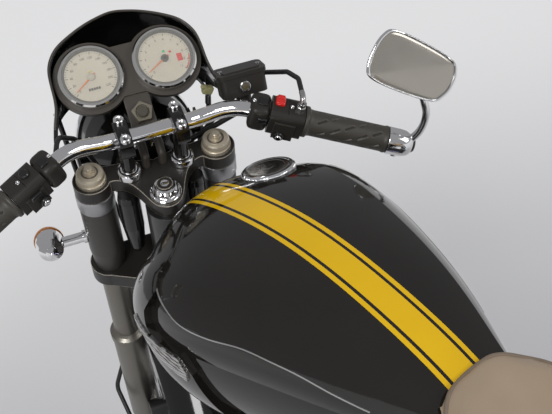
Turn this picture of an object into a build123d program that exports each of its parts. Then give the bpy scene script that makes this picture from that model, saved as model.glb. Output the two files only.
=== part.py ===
from build123d import *
import os
from math import asin, atan2, cos, degrees, hypot, pi, radians, sin, sqrt

os.makedirs("parts", exist_ok=True)

# A cafe racer motorcycle: air-cooled parallel twin, wire wheels, parked on its centre stand with the bars
# turned to the right. Millimetres. X runs forward, Y to the left, Z up. While it is built, the rear axle
# is at X = 0 and Z = 0 is the road under level wheels; the last step moves the origin under the whole machine.

# Chassis
wheelbase = 1490.0
rake = 27.0
fork_offset = 58.0
fork_length = 744.0
parked_steer = -22.0
rear_wheel_lift = 12.0
seat_fit = 0.3
bearing_gap = 0.5
running_gap = 7.0

# Wheels: tyre radius, tyre width, bead seat radius, rim width
front_tyre_radius = 318.5
front_tyre_width = 100.0
front_bead_radius = 228.6
front_rim_width = 62.0
rear_tyre_radius = 320.0
rear_tyre_width = 130.0
rear_bead_radius = 215.9
rear_rim_width = 86.0
rim_flange = 12.0
rim_depth = 14.0
spoke_count = 36
spoke_radius = 2.0

# Fork and steering head
leg_half_spacing = 91.0
stanchion_radius = 20.5
slider_radius = 27.0
slider_length = 345.0
yoke_thickness = 22.0
yoke_gap = 168.0
head_tube_radius = 31.0
stem_radius = 15.0
front_axle_radius = 8.5
rear_axle_radius = 10.0

# Handlebar, measured from the steering axis at the top of the upper yoke
bar_radius = 11.1
riser_half_spacing = 38.0
riser_forward = 49.0
bar_forward = 44.0
bar_rise = 74.0
bar_bend = (30.0, 112.0, 95.0)
bar_end = (-60.0, 309.0, 41.0)
bar_beyond_grip = 10.0
grip_radius = 18.0
grip_length = 117.0
switch_length = 46.0
perch_length = 24.0
bar_clamp_length = 38.0
reservoir_middle = (70.0, -137.0, 93.0)
reservoir_size = (40.0, 68.0, 28.0)

# Instruments
gauge_radius = 45.0
gauge_depth = 48.0
gauge_half_spacing = 52.5
gauge_forward = 154.0
gauge_rise = 93.0
gauge_tilt = 28.0

# Lamps
headlamp_radius = 92.0
headlamp_depth = 118.0
headlamp_forward = 196.0
headlamp_rise = -92.0
indicator_radius = 21.0
indicator_length = 58.0
front_indicator = (62.0, 171.0, -128.0)
sleeve_radius = stanchion_radius + seat_fit + 5.0
rear_indicator_x = -60.0
indicator_stem_radius = 8.0

# Frame tubes
spine_radius = 19.0
cradle_radius = 14.0
cradle_half_width = 80.0
pivot_half_width = 134.0
rail_radius = 12.5
rail_half_width = 100.0
bump_room = 112.0
rail_height = 2 * rear_tyre_radius + rear_wheel_lift + bump_room
rail_bend_x = 150.0
rail_tail_x = -150.0
rail_kick = 34.0
rail_taper = 8.0
rail_cross_x = rail_bend_x + 20
pivot_x = 530.0
pivot_z = 405.0

# Engine
engine_front = 850.0
engine_rear = 500.0
engine_floor = 200.0
crankcase_top = 440.0
crankcase_half_width = 128.0
cylinder_x = 715.0
cylinder_length = 150.0
cylinder_half_width = 158.0
barrel_fins = 8
fin_pitch = 14.0
fin_thickness = 4.0
head_height = 74.0
cam_cover_height = 52.0
port_spacing = 78.0

# Rear suspension
arm_side = 116.0
arm_end_x = -56.0
bobbin_x = -38.0
bobbin_radius = 4.0
bobbin_depth = 16.0
arm_width = 26.0
arm_height = 42.0
shock_side = 150.0
shock_head_x = 78.0
shock_foot_x = 40.0

# Final drive
chain_pitch = 15.875
chain_side = 80.0
sprocket_half = 3.4
sprocket_teeth = 43
drive_teeth = 17
drive_x = 606.0
drive_z = 392.0
roller_radius = 5.1
chain_width = 18.0

# Brakes
front_disc_radius = 160.0
rear_disc_radius = 127.5
front_disc_side = 54.0
disc_thickness = 5.0
rear_hub_end = chain_side - sprocket_half - seat_fit
rear_disc_side = -(rear_hub_end + seat_fit + disc_thickness / 2)

# Exhaust
header_radius = 19.0
silencer_radius = 45.0
silencer_side = 165.0
silencer_front = 430.0
silencer_rear = -262.0
silencer_z = 214.0
silencer_slope = 3.4

# Body
tank_cap_radius = 34.5
tank_cap_height = 13.0
tank_cap_x = 935.5
tank_cap_y = -70.6
tank_cap_z = rail_height + 216.0
knee_depth = 9.0
flash_thickness = 3.0
screen_wall = 3.5
guard_thickness = 2.5
plate_face_x = -214.0
plate_hole_z = rail_height - 44.0
plate_hole_spacing = 140.0
plate_hole_radius = 3.0
guard_clearance = 16.0

# Stands
shock_pin_radius = 7.0
stand_pivot_x = 480.0
stand_pivot_z = 216.0
stand_foot_x = 506.0
stand_pivot_half = 80.0
stand_foot_half = 100.0
stand_leg_radius = 10.0
stand_pin_radius = 8.0
stand_lug_side = 97.0
stand_lug_thickness = 7.0
pivot_bolt_radius = 8.0
side_boss_radius = 14.0
side_pivot = Vector(735.0, 118.0, 165.0)
side_leg_length = 156.0
side_leg_radius = 9.0


# Where the wheels and the steering axis lie

front_axle = Vector(wheelbase, 0, front_tyre_radius)
rear_axle = Vector(0, 0, rear_tyre_radius + rear_wheel_lift)
forward = Vector(cos(radians(rake)), 0, sin(radians(rake)))
upward = Vector(-sin(radians(rake)), 0, cos(radians(rake)))
yoke_top = front_axle - forward * fork_offset + upward * fork_length
straight_ahead = Plane(origin=yoke_top, x_dir=forward, z_dir=upward).location
steered = straight_ahead * Rot(0, 0, parked_steer)


# Helpers that make one kind of form each

def rod(start, end, radius, bore=0.0):
    """A straight round bar or tube from one point to another."""
    start, end = Vector(start), Vector(end)
    place = Plane(origin=start, z_dir=end - start).location
    length = (end - start).length
    made = Cylinder(radius, length, align=(Align.CENTER, Align.CENTER, Align.MIN))
    if bore:
        made -= Cylinder(bore, length, align=(Align.CENTER, Align.CENTER, Align.MIN))
    return place * made


def bent_tube(points, radius, bend=60.0):
    """A round tube along straight runs joined by arcs; one bend radius, or one for each corner."""
    bends = bend if isinstance(bend, (list, tuple)) else [bend] * (len(points) - 2)
    path = FilletPolyline(*points, radius=bends)
    ends = Plane(origin=path @ 0, z_dir=path % 0)
    return sweep(ends * Circle(radius), path=path)


def turned(outline, about="Y"):
    """A body of revolution about one axis; the outline gives (along the axis, distance from it)."""
    if about == "X":
        return revolve(Plane.XY * make_face(Polyline(*outline, close=True)), axis=Axis.X)
    corners = [(far, along) for along, far in outline]
    if about == "Y":
        return revolve(Plane.XY * make_face(Polyline(*corners, close=True)), axis=Axis.Y)
    return revolve(Plane.XZ * make_face(Polyline(*corners, close=True)), axis=Axis.Z)


def mirrored(shape):
    """The same piece on the other side of the machine."""
    return mirror(shape, about=Plane.XZ)


def both_sides(shape):
    """A left piece with its right-hand twin, as two solids that don't touch."""
    return Compound(children=[*shape.solids(), *mirrored(shape).solids()])


# Wheels, built about their own axles: the axle lies along Y through the origin

def tyre(radius, width, bead_radius, rim_width):
    """A road tyre of round section that sits on the rim between its flanges."""
    seat = bead_radius - 2.0 + seat_fit
    bead = rim_width / 2 - 5.0 - seat_fit
    height = radius - bead_radius
    flange_top = bead_radius + rim_flange
    wide = bead_radius + 0.50 * height
    shoulder = bead_radius + 0.82 * height
    half = width / 2
    side = [(bead, seat), (bead, flange_top), (half, wide), (0.86 * half, shoulder)]
    left = Polyline(*[(far, along) for along, far in side[:2]])
    wall = ThreePointArc((flange_top, bead), (bead_radius + 0.26 * height, 0.93 * half), (wide, half))
    edge = ThreePointArc((wide, half), (bead_radius + 0.68 * height, 0.965 * half), (shoulder, 0.86 * half))
    crown = ThreePointArc((shoulder, 0.86 * half), (radius, 0), (shoulder, -0.86 * half))
    outline = left + wall + edge
    other = mirror(outline, about=Plane.XZ)
    bottom = Line((seat, bead), (seat, -bead))
    return revolve(make_face([*outline.edges(), crown, *other.edges(), bottom]), axis=Axis.Y)


def wire_wheel(bead_radius, rim_width, hub_radius, flange_radius, flange_half, bore):
    """Rim, hub and crossed spokes, as one piece."""
    half = rim_width / 2
    floor = bead_radius - 2.0
    rim = turned([
        (-half, bead_radius + rim_flange), (-half + 5, bead_radius + rim_flange), (-half + 5, floor),
        (half - 5, floor), (half - 5, bead_radius + rim_flange), (half, bead_radius + rim_flange),
        (half, floor - 3), (0.42 * half, floor - rim_depth), (-0.42 * half, floor - rim_depth),
        (-half, floor - 3),
    ])
    hub = turned([
        (-flange_half - 4, bore), (flange_half + 4, bore), (flange_half + 4, flange_radius - 8),
        (flange_half, flange_radius), (flange_half - 6, flange_radius), (flange_half - 10, hub_radius),
        (-flange_half + 10, hub_radius), (-flange_half + 6, flange_radius),
        (-flange_half, flange_radius), (-flange_half - 4, flange_radius - 8),
    ])
    spokes = []
    inner = flange_radius - 5
    outer = floor - rim_depth + 3
    for index in range(spoke_count):
        side = 1 if index % 2 else -1
        lean = 1 if (index // 2) % 2 else -1
        angle = radians(index * 360 / spoke_count)
        twist = radians(38 * lean)
        start = Vector(inner * cos(angle - twist), side * (flange_half - 3), inner * sin(angle - twist))
        end = Vector(outer * cos(angle), side * 0.12 * half, outer * sin(angle))
        place = Plane(origin=start, z_dir=end - start)
        spokes.append(extrude(place * RegularPolygon(spoke_radius, 6), (end - start).length))
    return hub.fuse(rim, *spokes)


def brake_disc(radius, side, carrier_radius):
    """A drilled steel disc with its carrier, on the hub's flange."""
    place = Plane(origin=(0, side, 0), z_dir=(0, 1, 0)).location
    plate = Cylinder(radius, disc_thickness) - Cylinder(radius - 34, disc_thickness)
    carrier = Cylinder(radius - 33, disc_thickness) - Cylinder(carrier_radius, disc_thickness)
    for hole in PolarLocations((radius - 34 + carrier_radius) / 2 + 4, 6):
        carrier -= hole * Cylinder((radius - 34 - carrier_radius) / 2 - 9, disc_thickness)
    for hole in PolarLocations(radius - 17, 18):
        plate -= hole * Cylinder(4.5, disc_thickness)
    return place * (plate + carrier)


def front_wheel_group():
    """Tyre, wheel and disc at the front axle, in steering coordinates."""
    at_axle = Pos(fork_offset, 0, -fork_length)
    hub_face = front_disc_side - disc_thickness / 2
    return {
        "front_tyre": at_axle * tyre(front_tyre_radius, front_tyre_width, front_bead_radius, front_rim_width),
        "front_wheel": at_axle * wire_wheel(front_bead_radius, front_rim_width, 24, 62, hub_face - 4 - seat_fit,
                                            front_axle_radius + seat_fit),
        "front_disc": at_axle * brake_disc(front_disc_radius, front_disc_side, 50),
    }


def sprocket():
    """The rear sprocket: its teeth stay inside the fixed chain, which it turns past."""
    pitch_radius = chain_pitch / (2 * sin(pi / sprocket_teeth))
    tip = pitch_radius - roller_radius - 1.2
    outline = []
    for tooth in range(sprocket_teeth):
        for part, reach in ((0.0, tip), (0.28, tip), (0.5, tip - 5), (0.78, tip - 5)):
            angle = 2 * pi * (tooth + part) / sprocket_teeth
            outline.append((reach * cos(angle), reach * sin(angle)))
    plate = extrude(make_face(Polyline(*outline, close=True)), sprocket_half, both=True)
    plate -= Cylinder(48, 8)
    for hole in PolarLocations(72, 6):
        plate -= hole * Cylinder(13, 8)
    return Plane(origin=(0, chain_side, 0), z_dir=(0, 1, 0)).location * plate


def rear_wheel_group():
    """Tyre, wheel, disc and sprocket at the rear axle."""
    at_axle = Pos(rear_axle)
    hub_half = rear_hub_end - 4
    return {
        "rear_tyre": at_axle * tyre(rear_tyre_radius, rear_tyre_width, rear_bead_radius, rear_rim_width),
        "rear_wheel": at_axle * wire_wheel(rear_bead_radius, rear_rim_width, 34, 68, hub_half,
                                           rear_axle_radius + seat_fit),
        "rear_disc": at_axle * brake_disc(rear_disc_radius, rear_disc_side, 50),
        "rear_sprocket": at_axle * sprocket(),
    }


# Steering group, in steering coordinates: X forward of the axis, Y left, Z up the axis from the upper yoke

def upper_yoke():
    """The forged top clamp: two fork clamps, a scalloped rear edge and a lobe round the stem's nut."""
    top = -5.0
    clamp_radius = stanchion_radius + 6
    rear = [(fork_offset - 23, 80), (fork_offset - 13, 62), (fork_offset - 24, 44), (20, 35), (0, 26.5),
            (-14, 20), (-23, 11), (-26, 0)]
    across = [(x, -y) for x, y in reversed(rear[:-1])]
    front = [(fork_offset + 20, -leg_half_spacing), (fork_offset + 14, -30), (fork_offset + 6, 0),
             (fork_offset + 14, 30), (fork_offset + 20, leg_half_spacing)]
    edge = Spline(*[Vector(x, y) for x, y in rear + across])
    around = Polyline(*[Vector(x, y) for x, y in [across[-1]] + front + [rear[0]]])
    body = extrude(Plane.XY.offset(top - yoke_thickness) * make_face([*edge.edges(), *around.edges()]), yoke_thickness)
    for side in (1, -1):
        clamp = Pos(fork_offset, side * leg_half_spacing, top - yoke_thickness / 2)
        body += clamp * Cylinder(clamp_radius, yoke_thickness)
    for side in (1, -1):
        clamp = Pos(fork_offset, side * leg_half_spacing, top - yoke_thickness / 2)
        body -= clamp * Cylinder(stanchion_radius + seat_fit, 2 * yoke_thickness)
    seat_ring = turned([(top, 0), (top, 21), (top + 3, 21), (top + 5, 18), (top + 5, 0)], "Z")
    nut = Pos(0, 0, top + 3) * extrude(RegularPolygon(16, 6), 12)
    crown = turned([(top + 10, 0), (top + 15, 13), (top + 20, 11), (top + 20, 5), (top + 16, 5), (top + 16, 0)], "Z")
    return body + seat_ring + nut + crown


def lower_yoke():
    """The bottom clamp with the steering stem pressed in, which runs up through the head tube."""
    level = -yoke_thickness - 5 - yoke_gap - 14
    plan = make_face(Polyline(
        (fork_offset + 26, leg_half_spacing + 10), (fork_offset + 26, -leg_half_spacing - 10),
        (fork_offset - 26, -leg_half_spacing - 14), (-8, -30), (-26, 0), (-8, 30),
        (fork_offset - 26, leg_half_spacing + 14), close=True))
    body = Pos(0, 0, level) * extrude(plan, 14, both=True)
    for side in (1, -1):
        clamp = Pos(fork_offset, side * leg_half_spacing, level)
        body += clamp * Cylinder(stanchion_radius + 10, 28)
        body -= clamp * Cylinder(stanchion_radius + seat_fit, 28)
    stem = rod((0, 0, level), (0, 0, -yoke_thickness - 5), stem_radius)
    return body + stem


def fork_leg():
    """The left telescopic leg: stanchion, cap, slider with its axle lug and mudguard lug."""
    axle = -fork_length
    top = axle + slider_length
    cap = stanchion_radius - 1.75
    outline = [
        (axle - 26, 0), (axle - 26, 16), (axle - 18, 23), (axle + 40, 23), (axle + 60, slider_radius),
        (top - 16, slider_radius), (top - 14, slider_radius + 2), (top, slider_radius + 2),
        (top + 4, stanchion_radius + 3), (top + 8, stanchion_radius), (0, stanchion_radius),
        (0, cap), (9, cap), (11, cap - 2), (11, 7), (13, 7), (13, 5), (19, 5), (20, 4), (20, 0),
    ]
    leg = Pos(fork_offset, leg_half_spacing, 0) * turned(outline, "Z")
    lug = rod((fork_offset, leg_half_spacing - 30, axle), (fork_offset, leg_half_spacing + 30, axle), 17)
    leg += lug
    leg -= rod((fork_offset, 0, axle), (fork_offset, 200, axle), front_axle_radius + seat_fit)
    return leg


def fork_legs():
    """Both legs, the axle between them, and the caliper lugs behind the left slider."""
    left = fork_leg()
    right = mirrored(left)
    return Compound(children=[*left.solids(), *right.solids()])


def front_axle_bar():
    """The wheel spindle through both sliders."""
    axle = -fork_length
    reach = leg_half_spacing + 38
    bar = rod((fork_offset, -reach, axle), (fork_offset, reach, axle), front_axle_radius)
    for side in (1, -1):
        face = side * (leg_half_spacing + 30.3)
        place = Plane(origin=(fork_offset, face, axle), z_dir=(0, side, 0))
        bar += extrude(place * RegularPolygon(14, 6), 9)
        inner = side * (leg_half_spacing - 30.3)
        hub_end = side * (front_disc_side - disc_thickness / 2 + 0.3)
        bar += rod((fork_offset, inner, axle), (fork_offset, hub_end, axle), 14)
    return bar


def front_caliper():
    """A two-piston caliper that straddles the disc behind the left slider."""
    radius = front_disc_radius - 22
    angle = radians(125)
    centre = Vector(fork_offset + radius * cos(angle), front_disc_side, -fork_length + radius * sin(angle))
    place = Plane(origin=centre, x_dir=(-sin(angle), 0, cos(angle)), z_dir=(0, 1, 0)).location
    body = place * (extrude(RectangleRounded(104, 52, 14), 34, both=True))
    slot = place * Pos(0, -8, 0) * Box(120, 52, disc_thickness + 5)
    boss = place * Pos(0, 0, 34) * Cylinder(19, 8)
    disc_space = rod((fork_offset, front_disc_side - 6, -fork_length),
                     (fork_offset, front_disc_side + 6, -fork_length), front_disc_radius + 6)
    leg_space = rod((fork_offset, leg_half_spacing, -fork_length - 60),
                    (fork_offset, leg_half_spacing, -fork_length + 380), slider_radius + seat_fit)
    spoke_space = rod((fork_offset, -60, -fork_length), (fork_offset, front_disc_side - 18, -fork_length), 240)
    return (body + boss) - slot - disc_space - leg_space - spoke_space


def mudguard(wheel_radius, width, start, end):
    """A rolled guard round a wheel at the origin, between two angles from straight ahead."""
    inner = wheel_radius + guard_clearance
    outer = inner + guard_thickness
    half = width / 2
    arch = ThreePointArc((inner - 34, half), (inner, 0), (inner - 34, -half))
    skin = ThreePointArc((outer - 34, half + guard_thickness), (outer, 0), (outer - 34, -half - guard_thickness))
    ends = [Line(arch @ 0, skin @ 0), Line(arch @ 1, skin @ 1)]
    section = make_face([arch, skin, *ends])
    around = revolve(section, axis=Axis.Y, revolution_arc=end - start)
    return Rot(0, -end, 0) * around


def front_mudguard():
    """The front guard with the four stays that carry it on the sliders."""
    at_axle = Pos(fork_offset, 0, -fork_length)
    width = 2 * (leg_half_spacing - slider_radius - guard_thickness - seat_fit)
    guard = at_axle * mudguard(front_tyre_radius, width, 8, 138)
    return guard


def headlamp():
    """The lamp shell with its rim, closed behind, open to the lens in front."""
    r = headlamp_radius
    shell = turned([
        (-headlamp_depth, 0), (-headlamp_depth + 6, 30), (-headlamp_depth + 26, 58), (-72, 76), (-40, 85),
        (-8, r - 4), (-8, r), (8, r), (10, r - 3), (10, r - 8), (-2, r - 8), (-14, r - 14),
        (-50, 66), (-86, 40), (-92, 0),
    ], "X")
    boss = rod((-34, -headlamp_radius - 2 + seat_fit, 0), (-34, headlamp_radius + 2 - seat_fit, 0), 9)
    inside = Pos(-48, 0, 0) * Box(90, 120, 30)
    return lamp_place() * (shell + (boss - inside))


def headlamp_lens():
    """The domed glass held in the rim."""
    r = headlamp_radius - 8 - seat_fit
    glass = turned([(2, 0), (2, r), (7, r), (12, 0.7 * r), (17, 0.35 * r), (19, 0)], "X")
    return lamp_place() * glass


def lamp_place():
    """The lamp looks straight ahead along the road when the bars are straight."""
    return Pos(headlamp_forward, 0, headlamp_rise) * Rot(0, rake, 0)


def lamp_brackets():
    """Tall sleeves round the stanchions between the yokes, with pressed ears out to the lamp's sides."""
    top = -yoke_thickness - 5 - seat_fit
    bottom = -yoke_thickness - 5 - yoke_gap + seat_fit
    bore = stanchion_radius + seat_fit
    sleeve = turned([(top, bore), (top, sleeve_radius - 2), (top - 26, sleeve_radius), (bottom + 40, sleeve_radius),
                     (bottom, sleeve_radius - 3), (bottom, bore)], "Z")
    side = headlamp_radius + 4
    reach = headlamp_forward - fork_offset - 6
    arm = Pos((fork_offset + headlamp_forward) / 2 + 4, side, headlamp_rise + 6) * Box(reach, 4, 42)
    pad = Pos(fork_offset + 16, side - 2, headlamp_rise + 6) * Box(26, 8, 42)
    ear = Pos(fork_offset, leg_half_spacing, 0) * sleeve + arm + pad
    ear -= rod((fork_offset, leg_half_spacing, bottom), (fork_offset, leg_half_spacing, top), bore)
    return both_sides(ear)


def yoke_lobes():
    """Glossy covers beside the head tube, hung under the upper yoke inboard of the legs."""
    top = -yoke_thickness - 5 - seat_fit
    lobe = turned([(top, 0), (top, 14), (top - 12, 16), (top - 70, 16), (top - 118, 12), (top - 130, 7),
                   (top - 132, 0)], "Z")
    return both_sides(Pos(36, 48, 0) * lobe)


def bar_path():
    """The bar's centreline, left end to right end."""
    half = [bar_bend, bar_end]
    left = list(reversed(half))
    middle = [(bar_forward, 58, bar_rise), (bar_forward, -58, bar_rise)]
    right = [(x, -y, z) for x, y, z in half]
    return left + middle + right


def handlebar():
    """One chromed steel tube."""
    return bent_tube(bar_path(), bar_radius, [70, 60, 60, 70])


def bar_clamps():
    """Two posts in ring nuts on the yoke, each with a slim split head that pinches the bar."""
    base = Vector(riser_forward, riser_half_spacing, -5 + seat_fit)
    crown = Vector(bar_forward - 2, riser_half_spacing, bar_rise)
    nut = turned([(0, 0), (0, 15), (3, 16.5), (9, 16.5), (13, 13), (13, 0)], "Z")
    post = Pos(base) * nut + rod(base + Vector(0, 0, 5), crown, 10)
    side_on = Plane(origin=crown, x_dir=(1, 0, 0), z_dir=(0, 1, 0)).location
    head = side_on * extrude(RectangleRounded(50, 36, 12), 9, both=True)
    for x in (crown.X - 18, crown.X + 18):
        head += rod((x, crown.Y, bar_rise), (x, crown.Y, bar_rise + 20), 5)
    bar = rod((bar_forward, 0, bar_rise), (bar_forward, 60, bar_rise), bar_radius + seat_fit)
    return both_sides((post + head) - bar)


def grip_frame():
    """Where the right grip starts and ends on the bar, and its direction outward."""
    bend, tip = Vector(bar_path()[-2]), Vector(bar_path()[-1])
    along = (tip - bend).normalized()
    outer = tip - along * bar_beyond_grip
    return outer - along * grip_length, outer, along


def grips():
    """Moulded rubber grips near the bar's ends, with an inner flange and shallow rings."""
    start, outer, along = grip_frame()
    length = grip_length
    outline = [(0, 0), (0, 21), (6, 21), (8, grip_radius)]
    for ring in range(6):
        at = 18 + ring * 15.0
        outline += [(at, grip_radius), (at + 1.5, grip_radius - 1.2), (at + 4.5, grip_radius - 1.2),
                    (at + 6, grip_radius)]
    outline += [(length - 4, grip_radius), (length, grip_radius - 3), (length, 0)]
    grip = Plane(origin=start, z_dir=along).location * turned(outline, "Z")
    grip -= rod(start - along * 40, outer + along * 40, bar_radius + seat_fit)
    return both_sides(mirrored(grip))


def switchgear():
    """The switch housings inboard of the grips, split along the bar."""
    start, outer, along = grip_frame()
    end = start - along
    place = Plane(origin=end - along * switch_length, z_dir=along, x_dir=(0, 0, 1)).location
    body = place * extrude(RectangleRounded(44, 42, 12), switch_length)
    body += place * Pos(-6, 15, 8) * Box(28, 16, switch_length - 18, align=(Align.CENTER, Align.CENTER, Align.MIN))
    body -= place * Pos(0, 0, switch_length / 2) * (Box(46, 60, 1.2) - Box(41, 60, 2))
    bore = rod(end - along * 80, end + along * 20, bar_radius + seat_fit)
    return both_sides(mirrored(body - bore))


def hand_levers():
    """Lever perches with their blades ahead of the grips; the right one carries the brake's master cylinder."""
    start, outer, along = grip_frame()
    end = start - along * (switch_length + 2)
    ahead = Vector(0.62, 0, -0.78)
    perch = rod(end - along * perch_length, end, bar_radius + 7)
    pivot = end - along * 6 + ahead * 40
    perch += rod(end - along * 12, pivot, 9)
    pin = Vector(0.78, 0, 0.62)
    perch += rod(pivot - pin * 9, pivot + pin * 9, 10)
    tip = outer + ahead * 60 - along * 4
    elbow = pivot + along * 46 + ahead * 20
    blade = rod(pivot, elbow, 6.5) + rod(elbow, tip, 5.5) + Pos(elbow) * Sphere(6.5) + Pos(tip) * Sphere(9)
    bore = rod(end - along * 60, end + along * 40, bar_radius + seat_fit)
    right = (perch + blade) - bore
    x, y, z = reservoir_middle
    low = z - reservoir_size[2] / 2
    cylinder = rod((26, y - 2, low - 7), (x + 18, y - 2, low - 23), 9)
    port = (reservoir_place() * Pos(0, -2, -reservoir_size[2] / 2 - seat_fit)).position
    neck = rod(port, port - Vector(sin(radians(rake)), 0, cos(radians(rake))) * 17, 8)
    master = (cylinder + neck) - bore
    return Compound(children=[*(right + master).solids(), *mirrored(right).solids()])


def brake_reservoir():
    """The front brake's fluid box with its screwed lid, on the master cylinder."""
    deep, wide, tall = reservoir_size
    body = extrude(RectangleRounded(deep - 4, wide - 4, 8), tall)
    lid = Pos(0, 0, tall) * extrude(RectangleRounded(deep, wide, 8), 6)
    pad = Pos(0, 0, tall + 6) * extrude(RectangleRounded(deep - 14, wide - 14, 6), 1.5)
    eye = Pos(-deep / 2 + 2, 0, tall / 2) * Rot(0, -90, 0) * Cylinder(7, 4)
    return reservoir_place() * Pos(0, 0, -tall / 2) * (body + lid + pad + eye)


def reservoir_place():
    """The middle of the fluid box, which lies level with the road."""
    return Pos(*reservoir_middle) * Rot(0, rake, 0)


def mirrors():
    """Mirror heads on thin stalks from the chromed clamps at the bar's ends."""
    start, outer, along = grip_frame()
    shell = rod(outer + along * seat_fit, outer + along * bar_clamp_length, 19)
    shell -= rod(outer, outer + along * (bar_beyond_grip + seat_fit), bar_radius + seat_fit)
    foot = outer + along * (bar_clamp_length - 6)
    neck = Vector(foot.X - 8, -342, 114)
    toward_rider = Vector(-0.8, 0, 0.6)
    corners = [(1.8, -313.9, 196.7), (-48.0, -405.7, 139.3), (-75.5, -366.2, 104.8), (-32.5, -268.0, 153.7)]
    middle = Vector(-38.5, -338.5, 148.6)
    face = Plane(origin=middle, x_dir=(0, -1, 0), z_dir=toward_rider)
    local = [face.to_local_coords(Vector(corner)) for corner in corners]
    outline = make_face(Polyline(*[(point.X, point.Y) for point in local], close=True))
    outline = fillet(outline.vertices(), 15)
    head = face * extrude(outline, -13)
    glass_bed = face * extrude(offset(outline, -4), -2)
    stalk = rod(foot, neck, 5.5) + Pos(neck) * Sphere(7) + rod(neck, middle - toward_rider * 7, 5)
    return both_sides(mirrored((head - glass_bed) + (stalk - face * extrude(offset(outline, -4), 30)) + shell))


def gauge_place(side):
    """The middle of a gauge's face, looking back and up at the rider."""
    face = Plane(origin=(gauge_forward, side * gauge_half_spacing, gauge_rise),
                 x_dir=(0, -1, 0), z_dir=(-sin(radians(gauge_tilt)), 0, cos(radians(gauge_tilt))))
    return face.location


def gauges():
    """Speedometer and tachometer: deep cups with a bezel round the glass."""
    r = gauge_radius
    cup = turned([
        (-gauge_depth, 0), (-gauge_depth, r - 16), (-gauge_depth + 10, r - 8), (-8, r - 4), (-7, r),
        (2, r), (4, r - 2), (4, r - 5), (0, r - 6), (0, 0),
    ], "Z")
    return Compound(children=[*(gauge_place(1) * cup).solids(), *(gauge_place(-1) * cup).solids()])


def gauge_panel():
    """The ring plate round both gauges, with a tongue for the ignition lock and two arms down to the yoke."""
    face = panel_place()
    ring = gauge_radius + 7
    plate = Box(2 * gauge_half_spacing, 74, 10)
    for side in (1, -1):
        plate += Pos(side * gauge_half_spacing, 0, 0) * Cylinder(ring, 10)
    for side in (1, -1):
        plate -= Pos(side * gauge_half_spacing, 0, 0) * Cylinder(gauge_radius - 3.2, 20)
    plate = face * Pos(0, 0, -14) * plate
    plate += face * Pos(0, -60, -16) * Box(36, 50, 5)
    for side in (1, -1):
        foot = Vector(fork_offset - 2, side * 12, -5 + seat_fit)
        knee = Vector(fork_offset - 2, side * 12, 14)
        under = (face * Pos(0, -30, -21)).position
        plate += rod(foot, knee, 6) + Pos(knee) * Sphere(6)
        plate += rod(knee, Vector(under.X, side * 12, under.Z), 6)
    return plate


def panel_place():
    """The middle between the gauges' faces: local X to the right, local Y up the slope of the dials."""
    centre = (gauge_place(1).position + gauge_place(-1).position) * 0.5
    return Plane(origin=centre, x_dir=(0, -1, 0),
                 z_dir=(-sin(radians(gauge_tilt)), 0, cos(radians(gauge_tilt)))).location


def ignition_switch():
    """The five-sided ignition lock under the gauges, with its key slot."""
    body = extrude(RegularPolygon(15.5, 5), 10) - Pos(0, 0, 8) * Cylinder(10, 4)
    body += Pos(0, 0, 6) * Cylinder(8, 3.5)
    body -= Pos(0, 0, 9) * Box(2.4, 9, 6)
    return panel_place() * Pos(1.5, -66, -13.5 + seat_fit) * Rot(0, 0, 18) * body


def screen_section(bottom, top, wide, wall, back):
    """One outline of the screen, upright between two heights in the lamp's own directions."""
    half = ((0, 1.0), (25, 0.975), (48, 0.93), (71, 0.865), (88, 0.80), (99, 0.725), (106, 0.64), (109, 0.53),
            (110, 0.38), (113, 0.26), (118, 0.17), (123, 0.07), (126, 0.0))
    low, high = Vector(bottom[0], 0, bottom[1]), Vector(top[0], 0, top[1])
    rise = (high - low).normalized()
    ahead = Vector(0, 1, 0).cross(rise)
    low = low - ahead * back - rise * 3 * wall
    tall = (high - low).length - wall
    narrow = wide * (1 - wall / 118)
    down = [Vector(-y * narrow, share * tall) for y, share in half]
    up = [Vector(-point.X, point.Y) for point in reversed(down[1:])]
    crown = Spline(*up, *down)
    sill = Line(crown @ 1, crown @ 0)
    plane = Plane(origin=low, x_dir=(0, -1, 0), z_dir=ahead * -1)
    return plane * make_face([*crown.edges(), *sill.edges()])


def fly_screen():
    """A small cowl in front of the gauges, open behind and below, over the headlamp on two struts."""
    rows = (
        # lower edge and upper edge, each as ahead of the lamp's middle and above its axis; share of the width
        ((-166, 82), (-73, 215), 1.0),
        ((-128, 84), (-36, 188), 0.97),
        ((-86, 86), (-4, 156), 0.88),
        ((-48, 88), (12, 134), 0.72),
        ((-24, 92), (20, 114), 0.5),
    )
    outside = loft([screen_section(bottom, top, wide, 0.0, 0.0) for bottom, top, wide in rows])
    inside = loft([screen_section(bottom, top, wide, screen_wall, screen_wall) for bottom, top, wide in rows])
    shell = Pos(headlamp_forward, 0, headlamp_rise) * Rot(0, rake, 0) * (outside - inside)
    lamp_room = lamp_place() * Rot(0, 90, 0) * Cylinder(headlamp_radius + 8, 500)
    shell -= lamp_room
    strut_side = headlamp_radius + 6 + seat_fit + 4
    for side in (1, -1):
        low = Vector(140, side * strut_side, headlamp_rise - 4)
        high = Vector(148.7, side * 111, headlamp_rise + 136)
        shell += rod(low, high, 4)
        shell += rod(low + Vector(0, -side * 4, 8), low + Vector(0, side * 6, 8), 8)
    return shell


def indicator():
    """A bullet lamp on its stem, pointing along X, with the stem going off along -Y."""
    r = indicator_radius
    bullet = turned([(-indicator_length / 2, 0), (-indicator_length / 2 + 3, 0.45 * r), (-14, 0.86 * r),
                     (4, r), (22, r), (26, 0.8 * r), (31, 0)], "X")
    return bullet


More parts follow.
